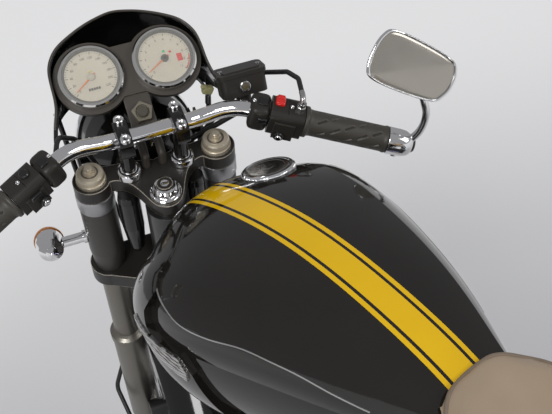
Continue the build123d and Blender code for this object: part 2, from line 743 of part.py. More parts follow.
def front_indicators():
    """Bullet lamps on stems from the sleeves beside the legs."""
    centre = Vector(front_indicator)
    lamp = Pos(centre) * Rot(0, rake, 0) * indicator()
    shroud = leg_half_spacing + sleeve_radius + seat_fit
    stem = rod(centre - Vector(0, 10, 0), (centre.X, shroud, centre.Z), indicator_stem_radius)
    collar = rod((centre.X, shroud, centre.Z), (centre.X, shroud + 5, centre.Z), 10)
    return both_sides(lamp + stem + collar)


def control_cables():
    """The throttle cable, the clutch cable and the front brake's hose, each held at both ends."""
    start, outer, along = grip_frame()
    housing = start - along * 9
    lift = (Vector(0, 0, 1) - along * along.Z).normalized()
    outlet = housing + lift * (22 + seat_fit)
    yoke_face = fork_offset + 26 + seat_fit
    middle = -yoke_thickness - 5 - yoke_gap - 14
    throttle = bent_tube([
        outlet, outlet + lift * 17, (30, -205, 113), (54, -198, 106), (98, -177, 72),
        (110, -138, 28), (100, -80, -20), (98, -50, middle), (yoke_face, -50, middle),
    ], 3.5, [9, 14, 14, 20, 26, 30, 12])
    clutch = bent_tube([
        (36, 132, 74), (74, 120, 78), (104, 96, 34), (100, 76, -24), (98, 50, middle), (yoke_face, 50, middle),
    ], 3.5, [26, 30, 30, 12])
    x, y, z = reservoir_middle
    low = z - reservoir_size[2] / 2
    hose = bent_tube([
        (x + 10, y - 2, low - 31.4), (x + 10, y - 2, low - 51), (88, -58, -14), (92, -28, -214),
        (100, 62, -300), (100, 84, -360), (98, 96, -520), (66, 134, -590), (8, 124, -626), (-12, 104, -630),
    ], 4.0, [18, 24, 40, 40, 30, 34, 26, 16])
    return Compound(children=[*throttle.solids(), *clutch.solids(), *hose.solids()])


# Frame

def head_top():
    """The head tube's upper end in the machine's own coordinates."""
    return yoke_top - upward * (yoke_thickness + 5 + bearing_gap)


def head_bottom():
    """The head tube's lower end."""
    return yoke_top - upward * (yoke_thickness + 5 + yoke_gap - bearing_gap)


def spine_line():
    """The backbone's centreline, from the head tube back to the seat rails."""
    flush = rail_height + rail_radius - spine_radius
    return [head_top() - upward * 50, (870, 0, rail_height + 62), (690, 0, flush), (pivot_x - 30, 0, flush)]


def frame_spine():
    """Head tube, backbone, its brace and the cross tube that carries the seat rails."""
    top, bottom = head_top(), head_bottom()
    bore = stem_radius + bearing_gap
    head = rod(bottom, top, head_tube_radius)
    spine = bent_tube(spine_line(), spine_radius, 120)
    gusset_start = bottom + upward * 20
    brace = rod(gusset_start, (900, 0, rail_height + 36), 9)
    cross_reach = rail_half_width - rail_radius - seat_fit
    cross_top = rod((pivot_x - 20, -cross_reach, rail_height), (pivot_x - 20, cross_reach, rail_height), rail_radius)
    body = head + spine + brace + cross_top
    body -= rod(bottom - upward * 5, top + upward * 5, bore)
    return body


def frame_cradle():
    """The left tube of the cradle: down from the head, under the engine and up to the seat rail."""
    bottom = head_bottom() + upward * 60
    rail_bottom = rail_height - rail_radius - seat_fit
    path = [
        bottom + Vector(0, 24, 0), (905, cradle_half_width, 300), (858, cradle_half_width, 176),
        (620, cradle_half_width, 176), (520, cradle_half_width + 26, 198), (516, pivot_half_width, 330),
        (516, pivot_half_width, pivot_z + 80), (516, rail_half_width, rail_height - 70),
        (516, rail_half_width, rail_bottom),
    ]
    tube = bent_tube(path, cradle_radius, [150, 60, 120, 70, 60, 60, 50])
    plate = Pos(pivot_x - 6, pivot_half_width, pivot_z) * Box(60, 2 * cradle_radius, 90)
    lug = Pos(stand_pivot_x + 14, stand_lug_side, stand_pivot_z) * Box(56, stand_lug_thickness, 34)
    pin = rod((stand_pivot_x, 60, stand_pivot_z), (stand_pivot_x, 140, stand_pivot_z), stand_pin_radius + seat_fit)
    bolt = rod((pivot_x, 60, pivot_z), (pivot_x, 200, pivot_z), pivot_bolt_radius + seat_fit)
    head = rod(head_bottom(), head_top(), head_tube_radius + seat_fit)
    return tube + plate + lug - pin - bolt - head


def frame_cradles():
    """Both cradle tubes; the left one carries the side stand's lug."""
    left = frame_cradle()
    reach = side_pivot.Y - side_boss_radius - seat_fit
    inside = cradle_half_width
    lug = Pos(side_pivot.X, (reach + inside) / 2, side_pivot.Z + 4) * Box(34, reach - inside, 24)
    return Compound(children=[*(left + lug).solids(), *mirrored(left).solids()])


def seat_rails():
    """Two rails joined by a hoop behind the seat."""
    front = pivot_x - 34
    left = [(front, rail_half_width, rail_height), (rail_bend_x, rail_half_width, rail_height),
            (rail_tail_x, rail_half_width - rail_taper, rail_height + rail_kick)]
    right = [(x, -y, z) for x, y, z in reversed(left)]
    rails = bent_tube(left + right, rail_radius, [60, 70, 70, 60])
    cross = rod((rail_cross_x, -rail_half_width, rail_height), (rail_cross_x, rail_half_width, rail_height), 10)
    eye = shock_head()
    for side in (1, -1):
        pin_start = (eye.X, side * (rail_half_width - 2), eye.Z)
        rails += rod(pin_start, (eye.X, side * (eye.Y + 20), eye.Z), shock_pin_radius)
    return rails + cross


def rail_top(x):
    """The height of the seat rails' upper side."""
    rise = rail_kick * max(0.0, min(1.0, (rail_bend_x - x) / (rail_bend_x - rail_tail_x)))
    return rail_height + rail_radius + rise


# Engine

def engine_crankcase():
    """Crankcase and gearbox in one casting, seen from the side as one rounded outline."""
    outline = make_face(Polyline(
        (engine_rear + 34, engine_floor + 60), (engine_rear + 70, engine_floor), (engine_front - 60, engine_floor),
        (engine_front - 10, engine_floor + 50), (engine_front - 18, crankcase_top - 60),
        (cylinder_x + 80, crankcase_top), (cylinder_x - 90, crankcase_top), (engine_rear + 60, crankcase_top + 40),
        (engine_rear + 66, pivot_z - 60), close=True))
    body = extrude(Plane.XZ * outline, crankcase_half_width - 62, both=True)
    upper = make_face(Polyline(
        (engine_rear + 74, engine_floor + 76), (engine_front - 22, engine_floor + 76),
        (engine_front - 26, crankcase_top - 66), (cylinder_x + 74, crankcase_top - 6),
        (engine_rear + 74, crankcase_top - 6), close=True))
    body += extrude(Plane.XZ * upper, crankcase_half_width, both=True)
    mount_reach = cradle_half_width - cradle_radius - seat_fit
    for x in (engine_front - 60, engine_rear + 100):
        body += rod((x, -mount_reach, engine_floor - 10), (x, mount_reach, engine_floor - 10), 15)
    chain_room = Plane.XZ * make_face(chain_run(roller_radius + 13))
    body -= Pos(0, crankcase_half_width + 70, 0) * extrude(chain_room, 132)
    shaft_end = chain_side + sprocket_half
    drive_radius = chain_pitch / (2 * sin(pi / drive_teeth)) - roller_radius - seat_fit
    body += rod((drive_x, 60, drive_z), (drive_x, shaft_end + 6, drive_z), 15)
    body += rod((drive_x, chain_side - sprocket_half, drive_z), (drive_x, shaft_end, drive_z), drive_radius)
    return body


def engine_covers():
    """The two polished side covers, bolted to the crankcase."""
    z = engine_floor + 148
    plan = SlotCenterToCenter(140, 150)
    cover = Pos(cylinder_x - 6, crankcase_half_width, z) * Rot(90, 0, 0) * extrude(plan, -26)
    boss = Pos(cylinder_x + 66, crankcase_half_width + 26, z) * Rot(90, 0, 0) * extrude(Circle(54), -14)
    return both_sides(cover + boss)


def finned_block(bottom, top, half_length, half_width, fins, core_inset):
    """A casting with flat horizontal cooling fins round a smaller core."""
    height = top - bottom
    core = Pos(cylinder_x, 0, bottom) * extrude(
        RectangleRounded(2 * (half_length - core_inset), 2 * (half_width - core_inset), 20), height)
    pitch = height / fins
    plates = []
    for fin in range(fins):
        level = bottom + (fin + 0.5) * pitch - fin_thickness / 2
        plates.append(Pos(cylinder_x, 0, level) * extrude(
            RectangleRounded(2 * half_length, 2 * half_width, 24), fin_thickness))
    return core.fuse(*plates)


def engine_cylinders():
    """Both barrels in one finned block."""
    bottom = crankcase_top
    top = bottom + barrel_fins * fin_pitch
    return finned_block(bottom, top, cylinder_length / 2, cylinder_half_width, barrel_fins, 16)


def head_base():
    return crankcase_top + barrel_fins * fin_pitch


def engine_head():
    """Cylinder head with its fins, under the cam cover."""
    bottom = head_base()
    block = finned_block(bottom, bottom + head_height, cylinder_length / 2 + 4, cylinder_half_width + 2, 5, 14)
    for side in (1, -1):
        port = Vector(cylinder_x + cylinder_length / 2 - 10, side * port_spacing, bottom + 34)
        block += rod(port, port + Vector(24, 0, 0), 26)
    return block


def engine_cam_cover():
    """The rounded cover over the cams."""
    bottom = head_base() + head_height
    section = make_face(Polyline((-62, 0), (62, 0), (62, 22), (46, cam_cover_height), (-46, cam_cover_height),
                                 (-62, 22), close=True))
    return Pos(cylinder_x, 0, bottom) * extrude(Plane.XZ * section, cylinder_half_width - 26, both=True)


def carburettors():
    """Two carburettors behind the head, each with its filter pod."""
    level = head_base() + 36
    front = cylinder_x - cylinder_length / 2 - 4
    outline = [(0, 0), (0, 22), (12, 22), (12, 28), (46, 28), (46, 24), (54, 24), (54, 38), (97, 34), (97, 0)]
    pod = turned([(-a, r) for a, r in outline], "X")
    carb = Pos(front, port_spacing, level) * pod
    carb += Pos(front - 29, port_spacing, level - 36) * Cylinder(20, 44)
    carb += Pos(front - 29, port_spacing, level + 34) * Cylinder(22, 32)
    return both_sides(carb)


# Exhaust

def exhaust_headers():
    """Chromed pipes from the head's ports, down the front and back under the engine."""
    port = Vector(cylinder_x + cylinder_length / 2 + 14.3, port_spacing, head_base() + 34)
    path = [port, port + Vector(92, 0, 0), (934, 124, 470), (888, 138, silencer_z),
            (640, 142, silencer_z), (silencer_front + 60, silencer_side, silencer_z),
            (silencer_front, silencer_side, silencer_z)]
    pipe = bent_tube(path, header_radius, [60, 200, 110, 200, 200])
    collar = rod(port, port + Vector(12, 0, 0), 27)
    return both_sides(pipe + collar)


def silencers():
    """Tapered silencers with a rolled end."""
    length = silencer_front - silencer_rear
    r = silencer_radius
    outline = [(0, 0), (0, 21), (14, 24), (150, r), (length - 90, r), (length - 20, r - 13), (length - 6, r - 14),
               (length, r - 16), (length, r - 20), (length - 60, r - 20), (length - 60, 0)]
    body = turned([(-along, far) for along, far in outline], "X")
    place = Pos(silencer_front - 2, silencer_side, silencer_z) * Rot(0, silencer_slope, 0)
    return both_sides(place * body)


# Rear suspension and drive

def swingarm():
    """Pivot tube, two arms and the axle lugs."""
    pivot_reach = pivot_half_width - cradle_radius - seat_fit
    pivot_side = pivot_reach - arm_width / 2 - 1.5
    pivot = rod((pivot_x, -pivot_reach, pivot_z), (pivot_x, pivot_reach, pivot_z), 21)
    bolt_reach = pivot_half_width + cradle_radius + 8
    pivot += rod((pivot_x, -bolt_reach, pivot_z), (pivot_x, bolt_reach, pivot_z), pivot_bolt_radius)
    arms = []
    for side in (1, -1):
        start = Vector(pivot_x, side * pivot_side, pivot_z)
        end = Vector(arm_end_x, side * arm_side, rear_axle.Z)
        span = end - start
        place = Plane(origin=start - span.normalized() * -10, x_dir=(0, 1, 0), z_dir=span)
        arms.append(extrude(place * RectangleRounded(arm_width, arm_height, 8), span.length - 10))
        arms.append(rod(start - Vector(0, arm_width / 2, 0), start + Vector(0, arm_width / 2, 0), 25))
    cross = rod((pivot_x - 105, -arm_side, pivot_z - 14), (pivot_x - 105, arm_side, pivot_z - 14), 16)
    body = pivot.fuse(cross, *arms)
    eye = shock_foot()
    for side in (1, -1):
        body += Pos(eye.X, side * (arm_side + 2), rear_axle.Z + 30) * Box(44, arm_width - 8, 56)
        body += rod((eye.X, side * arm_side, eye.Z), (eye.X, side * (eye.Y + 20), eye.Z), shock_pin_radius)
    body -= rod((0, -160, rear_axle.Z), (0, 160, rear_axle.Z), rear_axle_radius + seat_fit)
    outer = bobbin_face()
    for side in (1, -1):
        start = (bobbin_x, side * (outer - bobbin_depth), rear_axle.Z)
        body -= rod(start, (bobbin_x, side * (outer + 5), rear_axle.Z), bobbin_radius)
    return body


def bobbin_face():
    """How far out the arm's outer face lies at the bobbin hole."""
    return arm_line(bobbin_x).Y + arm_width / 2


def shock_foot():
    """The shock's lower eye, on the swingarm."""
    return Vector(shock_foot_x, shock_side, rear_axle.Z + 44)


def shock_head():
    """The shock's upper eye, on the seat rail."""
    return Vector(shock_head_x, shock_side - 16, rail_height + 6)


def rear_axle_bar():
    """The rear spindle with its nuts and spacers."""
    arm = arm_line(0)
    reach = arm.Y + arm_width / 2 + 17
    axle = rear_axle.Z
    bar = rod((0, -reach, axle), (0, reach, axle), rear_axle_radius)
    for side in (1, -1):
        face = side * (arm.Y + arm_width / 2 + 1)
        place = Plane(origin=(0, face, axle), z_dir=(0, side, 0))
        bar += extrude(place * RegularPolygon(16, 6), 12)
        arm_face = arm.Y - arm_width / 2 - 1
        bar += rod((0, side * (rear_hub_end + seat_fit), axle), (0, side * arm_face, axle), 16)
    return bar


def shock_absorbers():
    """Twin rear shocks: damper, preload collar and spring."""
    foot, head = shock_foot(), shock_head()
    length = (head - foot).length
    outline = [(0, 0), (0, 12), (14, 14), (24, 24), (34, 24)]
    coils = 9
    start = 38.0
    stop = length - 52
    pitch = (stop - start) / coils
    for coil in range(coils):
        base = start + coil * pitch
        outline += [(base, 20), (base + 0.2 * pitch, 26), (base + 0.6 * pitch, 26), (base + 0.8 * pitch, 20)]
    outline += [(stop, 25), (stop + 12, 25), (stop + 18, 17), (length - 14, 17), (length, 12), (length, 0)]
    place = Plane(origin=foot, z_dir=head - foot).location
    body = place * turned(outline, "Z")
    body += rod(foot - Vector(0, 12, 0), foot + Vector(0, 12, 0), 15)
    body += rod(head - Vector(0, 12, 0), head + Vector(0, 12, 0), 15)
    for eye in (foot, head):
        body -= rod(eye - Vector(0, 30, 0), eye + Vector(0, 30, 0), shock_pin_radius + seat_fit)
    return both_sides(body)


def chain_run(offset):
    """The closed line round both sprockets, moved out by an offset: two arcs and two straight runs."""
    back_radius = chain_pitch / (2 * sin(pi / sprocket_teeth)) + offset
    front_radius = chain_pitch / (2 * sin(pi / drive_teeth)) + offset
    spacing = hypot(drive_x, drive_z - rear_axle.Z)
    slope = atan2(drive_z - rear_axle.Z, drive_x)
    wrap = asin((back_radius - front_radius) / spacing)
    back, front = Vector(0, rear_axle.Z), Vector(drive_x, drive_z)

    def on(centre, radius, angle):
        return centre + Vector(radius * cos(angle), radius * sin(angle))

    top = slope + pi / 2 - wrap
    bottom = slope - pi / 2 + wrap
    return [
        Line(on(back, back_radius, top), on(front, front_radius, top)),
        ThreePointArc(on(front, front_radius, top), on(front, front_radius, slope), on(front, front_radius, bottom)),
        Line(on(front, front_radius, bottom), on(back, back_radius, bottom)),
        ThreePointArc(on(back, back_radius, bottom), on(back, back_radius, slope + pi), on(back, back_radius, top)),
    ]


def drive_chain():
    """The roller chain as one fixed loop: a band of rollers with the outer plates of every second link."""
    centre = Wire(chain_run(0))
    band = make_face(chain_run(roller_radius)) - make_face(chain_run(-roller_radius))
    loop = extrude(Plane.XZ * band, 5.0, both=True)
    links = round(centre.length / chain_pitch / 2)
    plates = []
    for link in range(links):
        share = (link + 0.5) / links
        at = centre @ share
        way = centre % share
        turn = degrees(atan2(way.Y, way.X))
        link_place = Pos(at.X, 0, at.Y) * Rot(0, -turn, 0)
        plate = Box(1.62 * chain_pitch, chain_width / 2 - 4.8, 13)
        for side in (1, -1):
            plates.append(link_place * Pos(0, side * (chain_width / 4 + 2.4), 0) * plate)
    body = loop.fuse(*plates)
    return Pos(0, chain_side, 0) * body


def arm_line(x):
    """The left arm's centre at a place along the machine."""
    share = (pivot_x - x) / (pivot_x - arm_end_x)
    pivot_side = pivot_half_width - cradle_radius - seat_fit - arm_width / 2 - 1.5
    return Vector(x, pivot_side + share * (arm_side - pivot_side), pivot_z + share * (rear_axle.Z - pivot_z))


def chain_guard():
    """A pressed guard over the chain's upper run, on two tabs from the arm."""
    start = Vector(90, 0, rear_axle.Z + 128)
    end = Vector(430, 0, pivot_z + 72)
    slope = degrees(atan2(end.Z - start.Z, end.X - start.X))
    length = (end - start).length
    width = 26.0
    depth = 31.0
    sheet = 3.0
    outer = width / 2 - sheet / 2
    top = Box(length, width, sheet, align=(Align.MIN, Align.CENTER, Align.MIN))
    side = Pos(0, outer, sheet - depth) * Box(length, sheet, depth, align=(Align.MIN, Align.CENTER, Align.MIN))
    middle = rear_tyre_width / 2 + running_gap + width / 2
    guard = Pos(start.X, middle, start.Z) * Rot(0, -slope, 0) * (top + side)
    for x in (150.0, 380.0):
        foot_z = arm_line(x + 12).Z + arm_height / 2 + 2 * seat_fit
        head_z = start.Z + (x - start.X) * (end.Z - start.Z) / (end.X - start.X) - 12
        tab = Box(24, 14, head_z - foot_z, align=(Align.CENTER, Align.MIN, Align.MIN))
        guard += Pos(x, middle + outer, foot_z) * tab
    return guard


def rear_caliper():
    """The rear caliper over the disc, on its bracket from the axle."""
    radius = rear_disc_radius - 18
    angle = radians(62)
    centre = Vector(radius * cos(angle), rear_disc_side, rear_axle.Z + radius * sin(angle))
    place = Plane(origin=centre, x_dir=(-sin(angle), 0, cos(angle)), z_dir=(0, -1, 0)).location
    body = place * Pos(0, 0, 4) * extrude(RectangleRounded(84, 44, 12), 18, both=True)
    slot = rod((0, rear_disc_side - 4.5, rear_axle.Z), (0, rear_disc_side + 4.5, rear_axle.Z), rear_disc_radius + 6)
    outer = rear_disc_side - 14
    bracket = rod((0, outer - 7, rear_axle.Z), (0, outer, rear_axle.Z), 28)
    strip = Plane(origin=(0, outer, rear_axle.Z), x_dir=(cos(angle), 0, sin(angle)), z_dir=(0, -1, 0)).location
    bracket += strip * Pos(radius / 2, 0, 3.5) * Box(radius, 34, 7)
    bracket -= rod((0, outer - 9, rear_axle.Z), (0, outer + 2, rear_axle.Z), 16 + seat_fit)
    return body - slot + bracket


# Bodywork

def tank_section(x, top, shoulder, side, base, half_top, half_wide, half_base):
    """One cross-section of the tank: flat base, bellied side, rounded shoulder and crowned top."""
    crown = ThreePointArc((half_top, shoulder), (0, top), (-half_top, shoulder))
    left_up = ThreePointArc((half_wide, side), (half_wide - 0.30 * (half_wide - half_top), (2 * shoulder + side) / 3 + 4),
                            (half_top, shoulder))
    left_low = ThreePointArc((half_base, base), (half_wide - 0.12 * (half_wide - half_base), (base + side) / 2 - 6),
                             (half_wide, side))
    right_up = mirror(left_up, about=Plane.YZ)
    right_low = mirror(left_low, about=Plane.YZ)
    floor = Line((half_base, base), (-half_base, base))
    outline = [crown, left_up, left_low, floor, right_low, right_up]
    return Plane(origin=(x, 0, 0), x_dir=(0, 1, 0), z_dir=(1, 0, 0)) * make_face(outline)


tank_table = (
    # x, heights above the seat rails: top, shoulder, side, base; half width at the shoulder, at its widest, at the base
    (548, 86, 78, 35, rail_radius + seat_fit, 51, 56, 58),
    (600, 134, 121, 60, 0, 65, 77, 72),
    (660, 171, 153, 82, -6, 84, 103, 86),
    (760, 213, 191, 105, -12, 105, 136, 112),
    (880, 230, 210, 118, -8, 119, 162, 134),
    (980, 221, 190, 110, 4, 102, 153, 128),
    (1036, 176, 152, 109, 36, 65, 121, 92),
)
knee_crease = (
    # x, height above the seat rails
    (624, 101), (657, 118), (693, 136), (727, 148), (764, 158), (811, 162), (850, 169), (878, 181), (904, 193),
)
flash_outline = (
    # x, height above the seat rails
    (963, 146), (928, 134), (897, 126), (874, 120), (866, 100), (872, 84), (902, 94), (936, 103), (962, 112),
)


def fuel_tank():
    """The tank: a loft over its sections with knee recesses, a tunnel for the backbone and the filler's neck."""
    body = tank_body()
    crease = Spline(*[(x, rail_height + height) for x, height in knee_crease])
    last = knee_crease[-1]
    around = Polyline((last[0], rail_height + last[1]), (926, rail_height + 166), (926, rail_height + 144),
                      (904, rail_height + 130), (872, rail_height + 122), (860, rail_height + 96),
                      (846, rail_height - 30), (585, rail_height - 30), (600, rail_height + 82),
                      (knee_crease[0][0], rail_height + knee_crease[0][1]))
    knee = extrude(Plane.XZ * make_face([*crease.edges(), *around.edges()]), 300, both=True)
    body -= knee - tank_body(-knee_depth)
    room = spine_radius + seat_fit
    tunnel = bent_tube(spine_line(), room, 120)
    corners = [(Vector(point).X, Vector(point).Z) for point in spine_line()]
    slot = make_face(Polyline(*corners, (corners[-1][0], 600), (corners[0][0], 600), close=True))
    slot = extrude(Plane.XZ * slot, room, both=True)
    seat_level = -4.0
    recess = cap_place() * Pos(0, 0, seat_level) * Cylinder(tank_cap_radius + 2, 60,
                                                             align=(Align.CENTER, Align.CENTER, Align.MIN))
    neck = cap_place() * Pos(0, 0, seat_level - 50) * Cylinder(tank_cap_radius + 1, 50,
                                                                align=(Align.CENTER, Align.CENTER, Align.MIN))
    return body - recess + neck - tunnel - slot


def tank_body(grow=0.0):
    """The tank's outer form, or that form a little larger or smaller, for what must clear or follow it."""
    sections = []
    for x, top, shoulder, side, base, half_top, half_wide, half_base in tank_table:
        heights = [rail_height + height for height in (top + grow, shoulder + grow, side, base - grow)]
        sections.append(tank_section(x, *heights, half_top + grow, half_wide + grow, half_base + grow))
    return loft(sections)


def tank_flashes():
    """A ribbed chrome flash on each front flank of the tank."""
    outline = [(x, rail_height + height) for x, height in flash_outline]
    blank = extrude(Plane.XZ * make_face(Polyline(*outline, close=True)), -300)
    plate = (blank & tank_body(flash_thickness)) - tank_body(seat_fit)
    first, last = Vector(*outline[0]), Vector(*outline[3])
    grooves = []
    for step in range(1, 4):
        down = Vector(0, -7.0 * step)
        line = Polyline(first + down, last + down, last + down + Vector(0, -2.4), first + down + Vector(0, -2.4),
                        close=True)
        grooves.append(extrude(Plane.XZ * make_face(line), -300) - tank_body(flash_thickness - 1.4))
    for groove in grooves:
        plate -= groove
    return both_sides(plate)


def cap_place():
    """The filler's place and tilt on the tank."""
    return Pos(tank_cap_x, tank_cap_y, tank_cap_z) * Rot(9, 3, 0)


def fuel_cap():
    """The chromed filler cap, dished on top, with its knurled rim on a collar."""
    low = -4.0 + seat_fit
    top = tank_cap_height - 4.0
    r = tank_cap_radius
    outline = [(low, 0), (low, r - 2), (low + 2, r - 2), (low + 3, r), (top - 2, r), (top, r - 2), (top, r - 5),
               (top - 1.2, r - 6), (top - 0.4, 0)]
    return cap_place() * turned(outline, "Z")


def seat():
    """The single padded seat from the tank's tail to the hump: upright sides and a gently crowned top."""
    rows = (
        # x, height of the top above the seat rails, half width
        (586, 108, 58),
        (560, 107, 68),
        (520, 102, 84),
        (440, 88, 98),
        (340, 78, 106),
        (240, 80, 108),
        (rail_bend_x, 98, 106),
    )
    sections = []
    for x, height, half in rows:
        base, top = rail_top(x) + seat_fit, rail_height + height
        wall = top - 26
        shoulder = (half - 22, top - 4)
        crown = ThreePointArc(shoulder, (0, top), (-shoulder[0], shoulder[1]))
        left = ThreePointArc((half, wall), (half - 6, top - 11), shoulder)
        outline = [crown, left, mirror(left, about=Plane.YZ), Line((half, base), (half, wall)),
                   Line((-half, base), (-half, wall)), Line((half, base), (-half, base))]
        sections.append(Plane(origin=(x, 0, 0), x_dir=(0, 1, 0), z_dir=(1, 0, 0)) * make_face(outline))
    return loft(sections) - tank_body(1.0)


def tail_cowl():
    """The painted hump behind the seat."""
    rows = (
        # x, height of the top above the seat rails, half width
        (rail_bend_x - 1, 116, 108),
        (60, 150, 112),
        (-80, 144, 96),
        (rail_tail_x, 124, 78),
        (rail_tail_x - 40, 102, 54),
    )
    sections = []
    for x, height, half in rows:
        base, top = rail_height, rail_height + height
        waist = rail_top(x) + 0.35 * (top - rail_top(x))
        crown = ThreePointArc((half, waist), (0, top), (-half, waist))
        walls = [Line((half, base), (half, waist)), Line((-half, base), (-half, waist))]
        floor = Line((half, base), (-half, base))
        sections.append(Plane(origin=(x, 0, 0), x_dir=(0, 1, 0), z_dir=(1, 0, 0)) * make_face([crown, *walls, floor]))
    front, back = rail_top(rail_bend_x) + seat_fit, rail_top(rail_tail_x) + seat_fit
    below = make_face(Polyline((300, front), (rail_bend_x, front), (rail_tail_x, back), (-300, back),
                               (-300, 600), (300, 600), close=True))
    return loft(sections) - extrude(Plane.XZ * below, 200, both=True)


def rear_mudguard():
    """The rear guard over the tyre, hung from the seat rails."""
    guard = Pos(rear_axle) * mudguard(rear_tyre_radius + 6, 150, 55, 158)
    reach = rear_tyre_radius + 6 + guard_clearance
    front_top = rail_height - 10 - seat_fit
    rear_top = rail_top(rail_tail_x) - 2 * rail_radius - seat_fit
    for x, top in ((rail_cross_x, front_top), (rail_tail_x, rear_top)):
        for side in (1, -1):
            foot = rear_axle.Z + sqrt(reach ** 2 - x ** 2) - 1
            guard += rod((x, side * 20, foot), (x, side * 20, top), 5)
    return guard


def side_panels():
    """Triangular covers under the seat, one each side."""
    corners = (
        # x, height above the seat rails
        (488, 4), (270, 4), (262, -48), (330, -164), (440, -208), (470, -194),
    )
    outline = make_face(Polyline(*[(x, rail_height + height) for x, height in corners], close=True))
    side = rail_half_width + rail_radius + seat_fit + 3
    panel = Pos(0, side, 0) * extrude(Plane.XZ * outline, 3, both=True)
    return both_sides(panel)


def tail_lamp():
    """The round tail lamp on the hoop, with the drilled bracket for a number plate under it."""
    z = rail_top(rail_tail_x) - rail_radius - 2
    lamp = Pos(plate_face_x + 8, 0, z) * turned([(0, 0), (0, 34), (-30, 38), (-36, 34), (-42, 0)], "X")
    hoop = rail_tail_x - rail_radius - seat_fit
    stay = rod((hoop, 0, z), (plate_face_x + 8, 0, z), 10)
    sheet = 3.0
    wide = plate_hole_spacing + 40
    tall = z - 20 - (plate_hole_z - 22)
    plate = Pos(plate_face_x + sheet / 2, 0, plate_hole_z) * Box(sheet, wide, 44)
    plate += Pos(plate_face_x + sheet / 2, 0, z - 20 - tall / 2) * Box(sheet, 30, tall)
    for side in (1, -1):
        hole = Vector(plate_face_x, side * plate_hole_spacing / 2, plate_hole_z)
        plate -= rod(hole - Vector(sheet, 0, 0), hole + Vector(2 * sheet, 0, 0), plate_hole_radius)
    return lamp + stay + plate


def rear_indicators():
    """Bullet lamps on stems each side of the tail."""
    x = rear_indicator_x
    share = (rail_bend_x - x) / (rail_bend_x - rail_tail_x)
    rail_side = rail_half_width - rail_taper * share + rail_radius + 1
    centre = Vector(x, 150, rail_top(x) - rail_radius)
    lamp = Pos(centre) * Rot(0, 0, 180) * indicator()
    stem = rod(centre - Vector(0, 10, 0), (x, rail_side, centre.Z), indicator_stem_radius)
    return both_sides(lamp + stem)


def footrests():
    """Hanger plates with rubber-covered pegs, set back for a low crouch."""
    plate_outline = make_face(Polyline((pivot_x - 6, pivot_z + 46), (pivot_x - 46, pivot_z + 40), (pivot_x - 92, 352),
                                       (pivot_x - 84, 330), (pivot_x - 60, 330), (pivot_x + 6, pivot_z - 40), close=True))
    side = pivot_half_width + cradle_radius + seat_fit + 4
    plate = Pos(0, side, 0) * extrude(Plane.XZ * plate_outline, 4, both=True)
    peg = rod((pivot_x - 74, side, 343), (pivot_x - 74, side + 96, 343), 11.5)
    lever = rod((pivot_x - 74, side + 8, 343), (pivot_x + 60, side + 16, 326), 6) + rod(
        (pivot_x + 60, side + 10, 326), (pivot_x + 60, side + 62, 326), 7)
    bolt = rod((pivot_x, side - 20, pivot_z), (pivot_x, side + 20, pivot_z), pivot_bolt_radius + seat_fit)
    return both_sides(plate + peg + lever - bolt)


# Stands

def centre_stand(floor):
    """Two legs on a cross tube, with feet on the floor and a tang for the rider's foot."""
    pivot = Vector(stand_pivot_x, stand_pivot_half, stand_pivot_z)
    foot = Vector(stand_foot_x, stand_foot_half, floor + 7)
    leg = rod(pivot, foot, stand_leg_radius) + Pos(foot) * Box(62, 22, 14)
    legs = leg + mirrored(leg)
    reach = stand_lug_side - stand_lug_thickness / 2 - seat_fit
    pin_reach = stand_lug_side + stand_lug_thickness / 2 + 3
    x, z = stand_pivot_x, stand_pivot_z
    cross = rod((x, -reach, z), (x, reach, z), 12) + rod((x, -pin_reach, z), (x, pin_reach, z), stand_pin_radius)
    low = pivot + (foot - pivot) * 0.45
    brace = rod((low.X, -low.Y, low.Z), (low.X, low.Y, low.Z), 9)
    return legs + cross + brace


side_axis_start = Vector(-1, 0, 0)
side_axis_end = Vector(30, 95, -120).normalized()


def side_stand():
    """The side stand, folded back under the left rail."""
    tip = side_pivot + side_axis_start * side_leg_length
    leg = rod(side_pivot, tip, side_leg_radius) + Pos(side_pivot) * Sphere(side_boss_radius)
    leg += Pos(tip) * Box(34, 26, 10)
    return leg


# The whole machine: node name, the body that carries it, and its shape

def in_steering(pieces):
    return {name: steered * shape for name, shape in pieces.items()}


front_group = in_steering(front_wheel_group())
floor_level = front_group["front_tyre"].bounding_box().min.Z

steering_group = in_steering({
    "upper_yoke": upper_yoke(),
    "lower_yoke": lower_yoke(),
    "fork_legs": fork_legs(),
    "front_axle": front_axle_bar(),
    "front_caliper": front_caliper(),
    "front_mudguard": front_mudguard(),
    "headlamp": headlamp(),
    "headlamp_lens": headlamp_lens(),
    "lamp_brackets": lamp_brackets(),
    "yoke_lobes": yoke_lobes(),
    "handlebar": handlebar(),
    "bar_clamps": bar_clamps(),
    "grips": grips(),
    "switchgear": switchgear(),
    "hand_levers": hand_levers(),
    "brake_reservoir": brake_reservoir(),
    "control_cables": control_cables(),
    "mirrors": mirrors(),
    "gauges": gauges(),
    "gauge_panel": gauge_panel(),
    "ignition_switch": ignition_switch(),
    "fly_screen": fly_screen(),
    "front_indicators": front_indicators(),
})

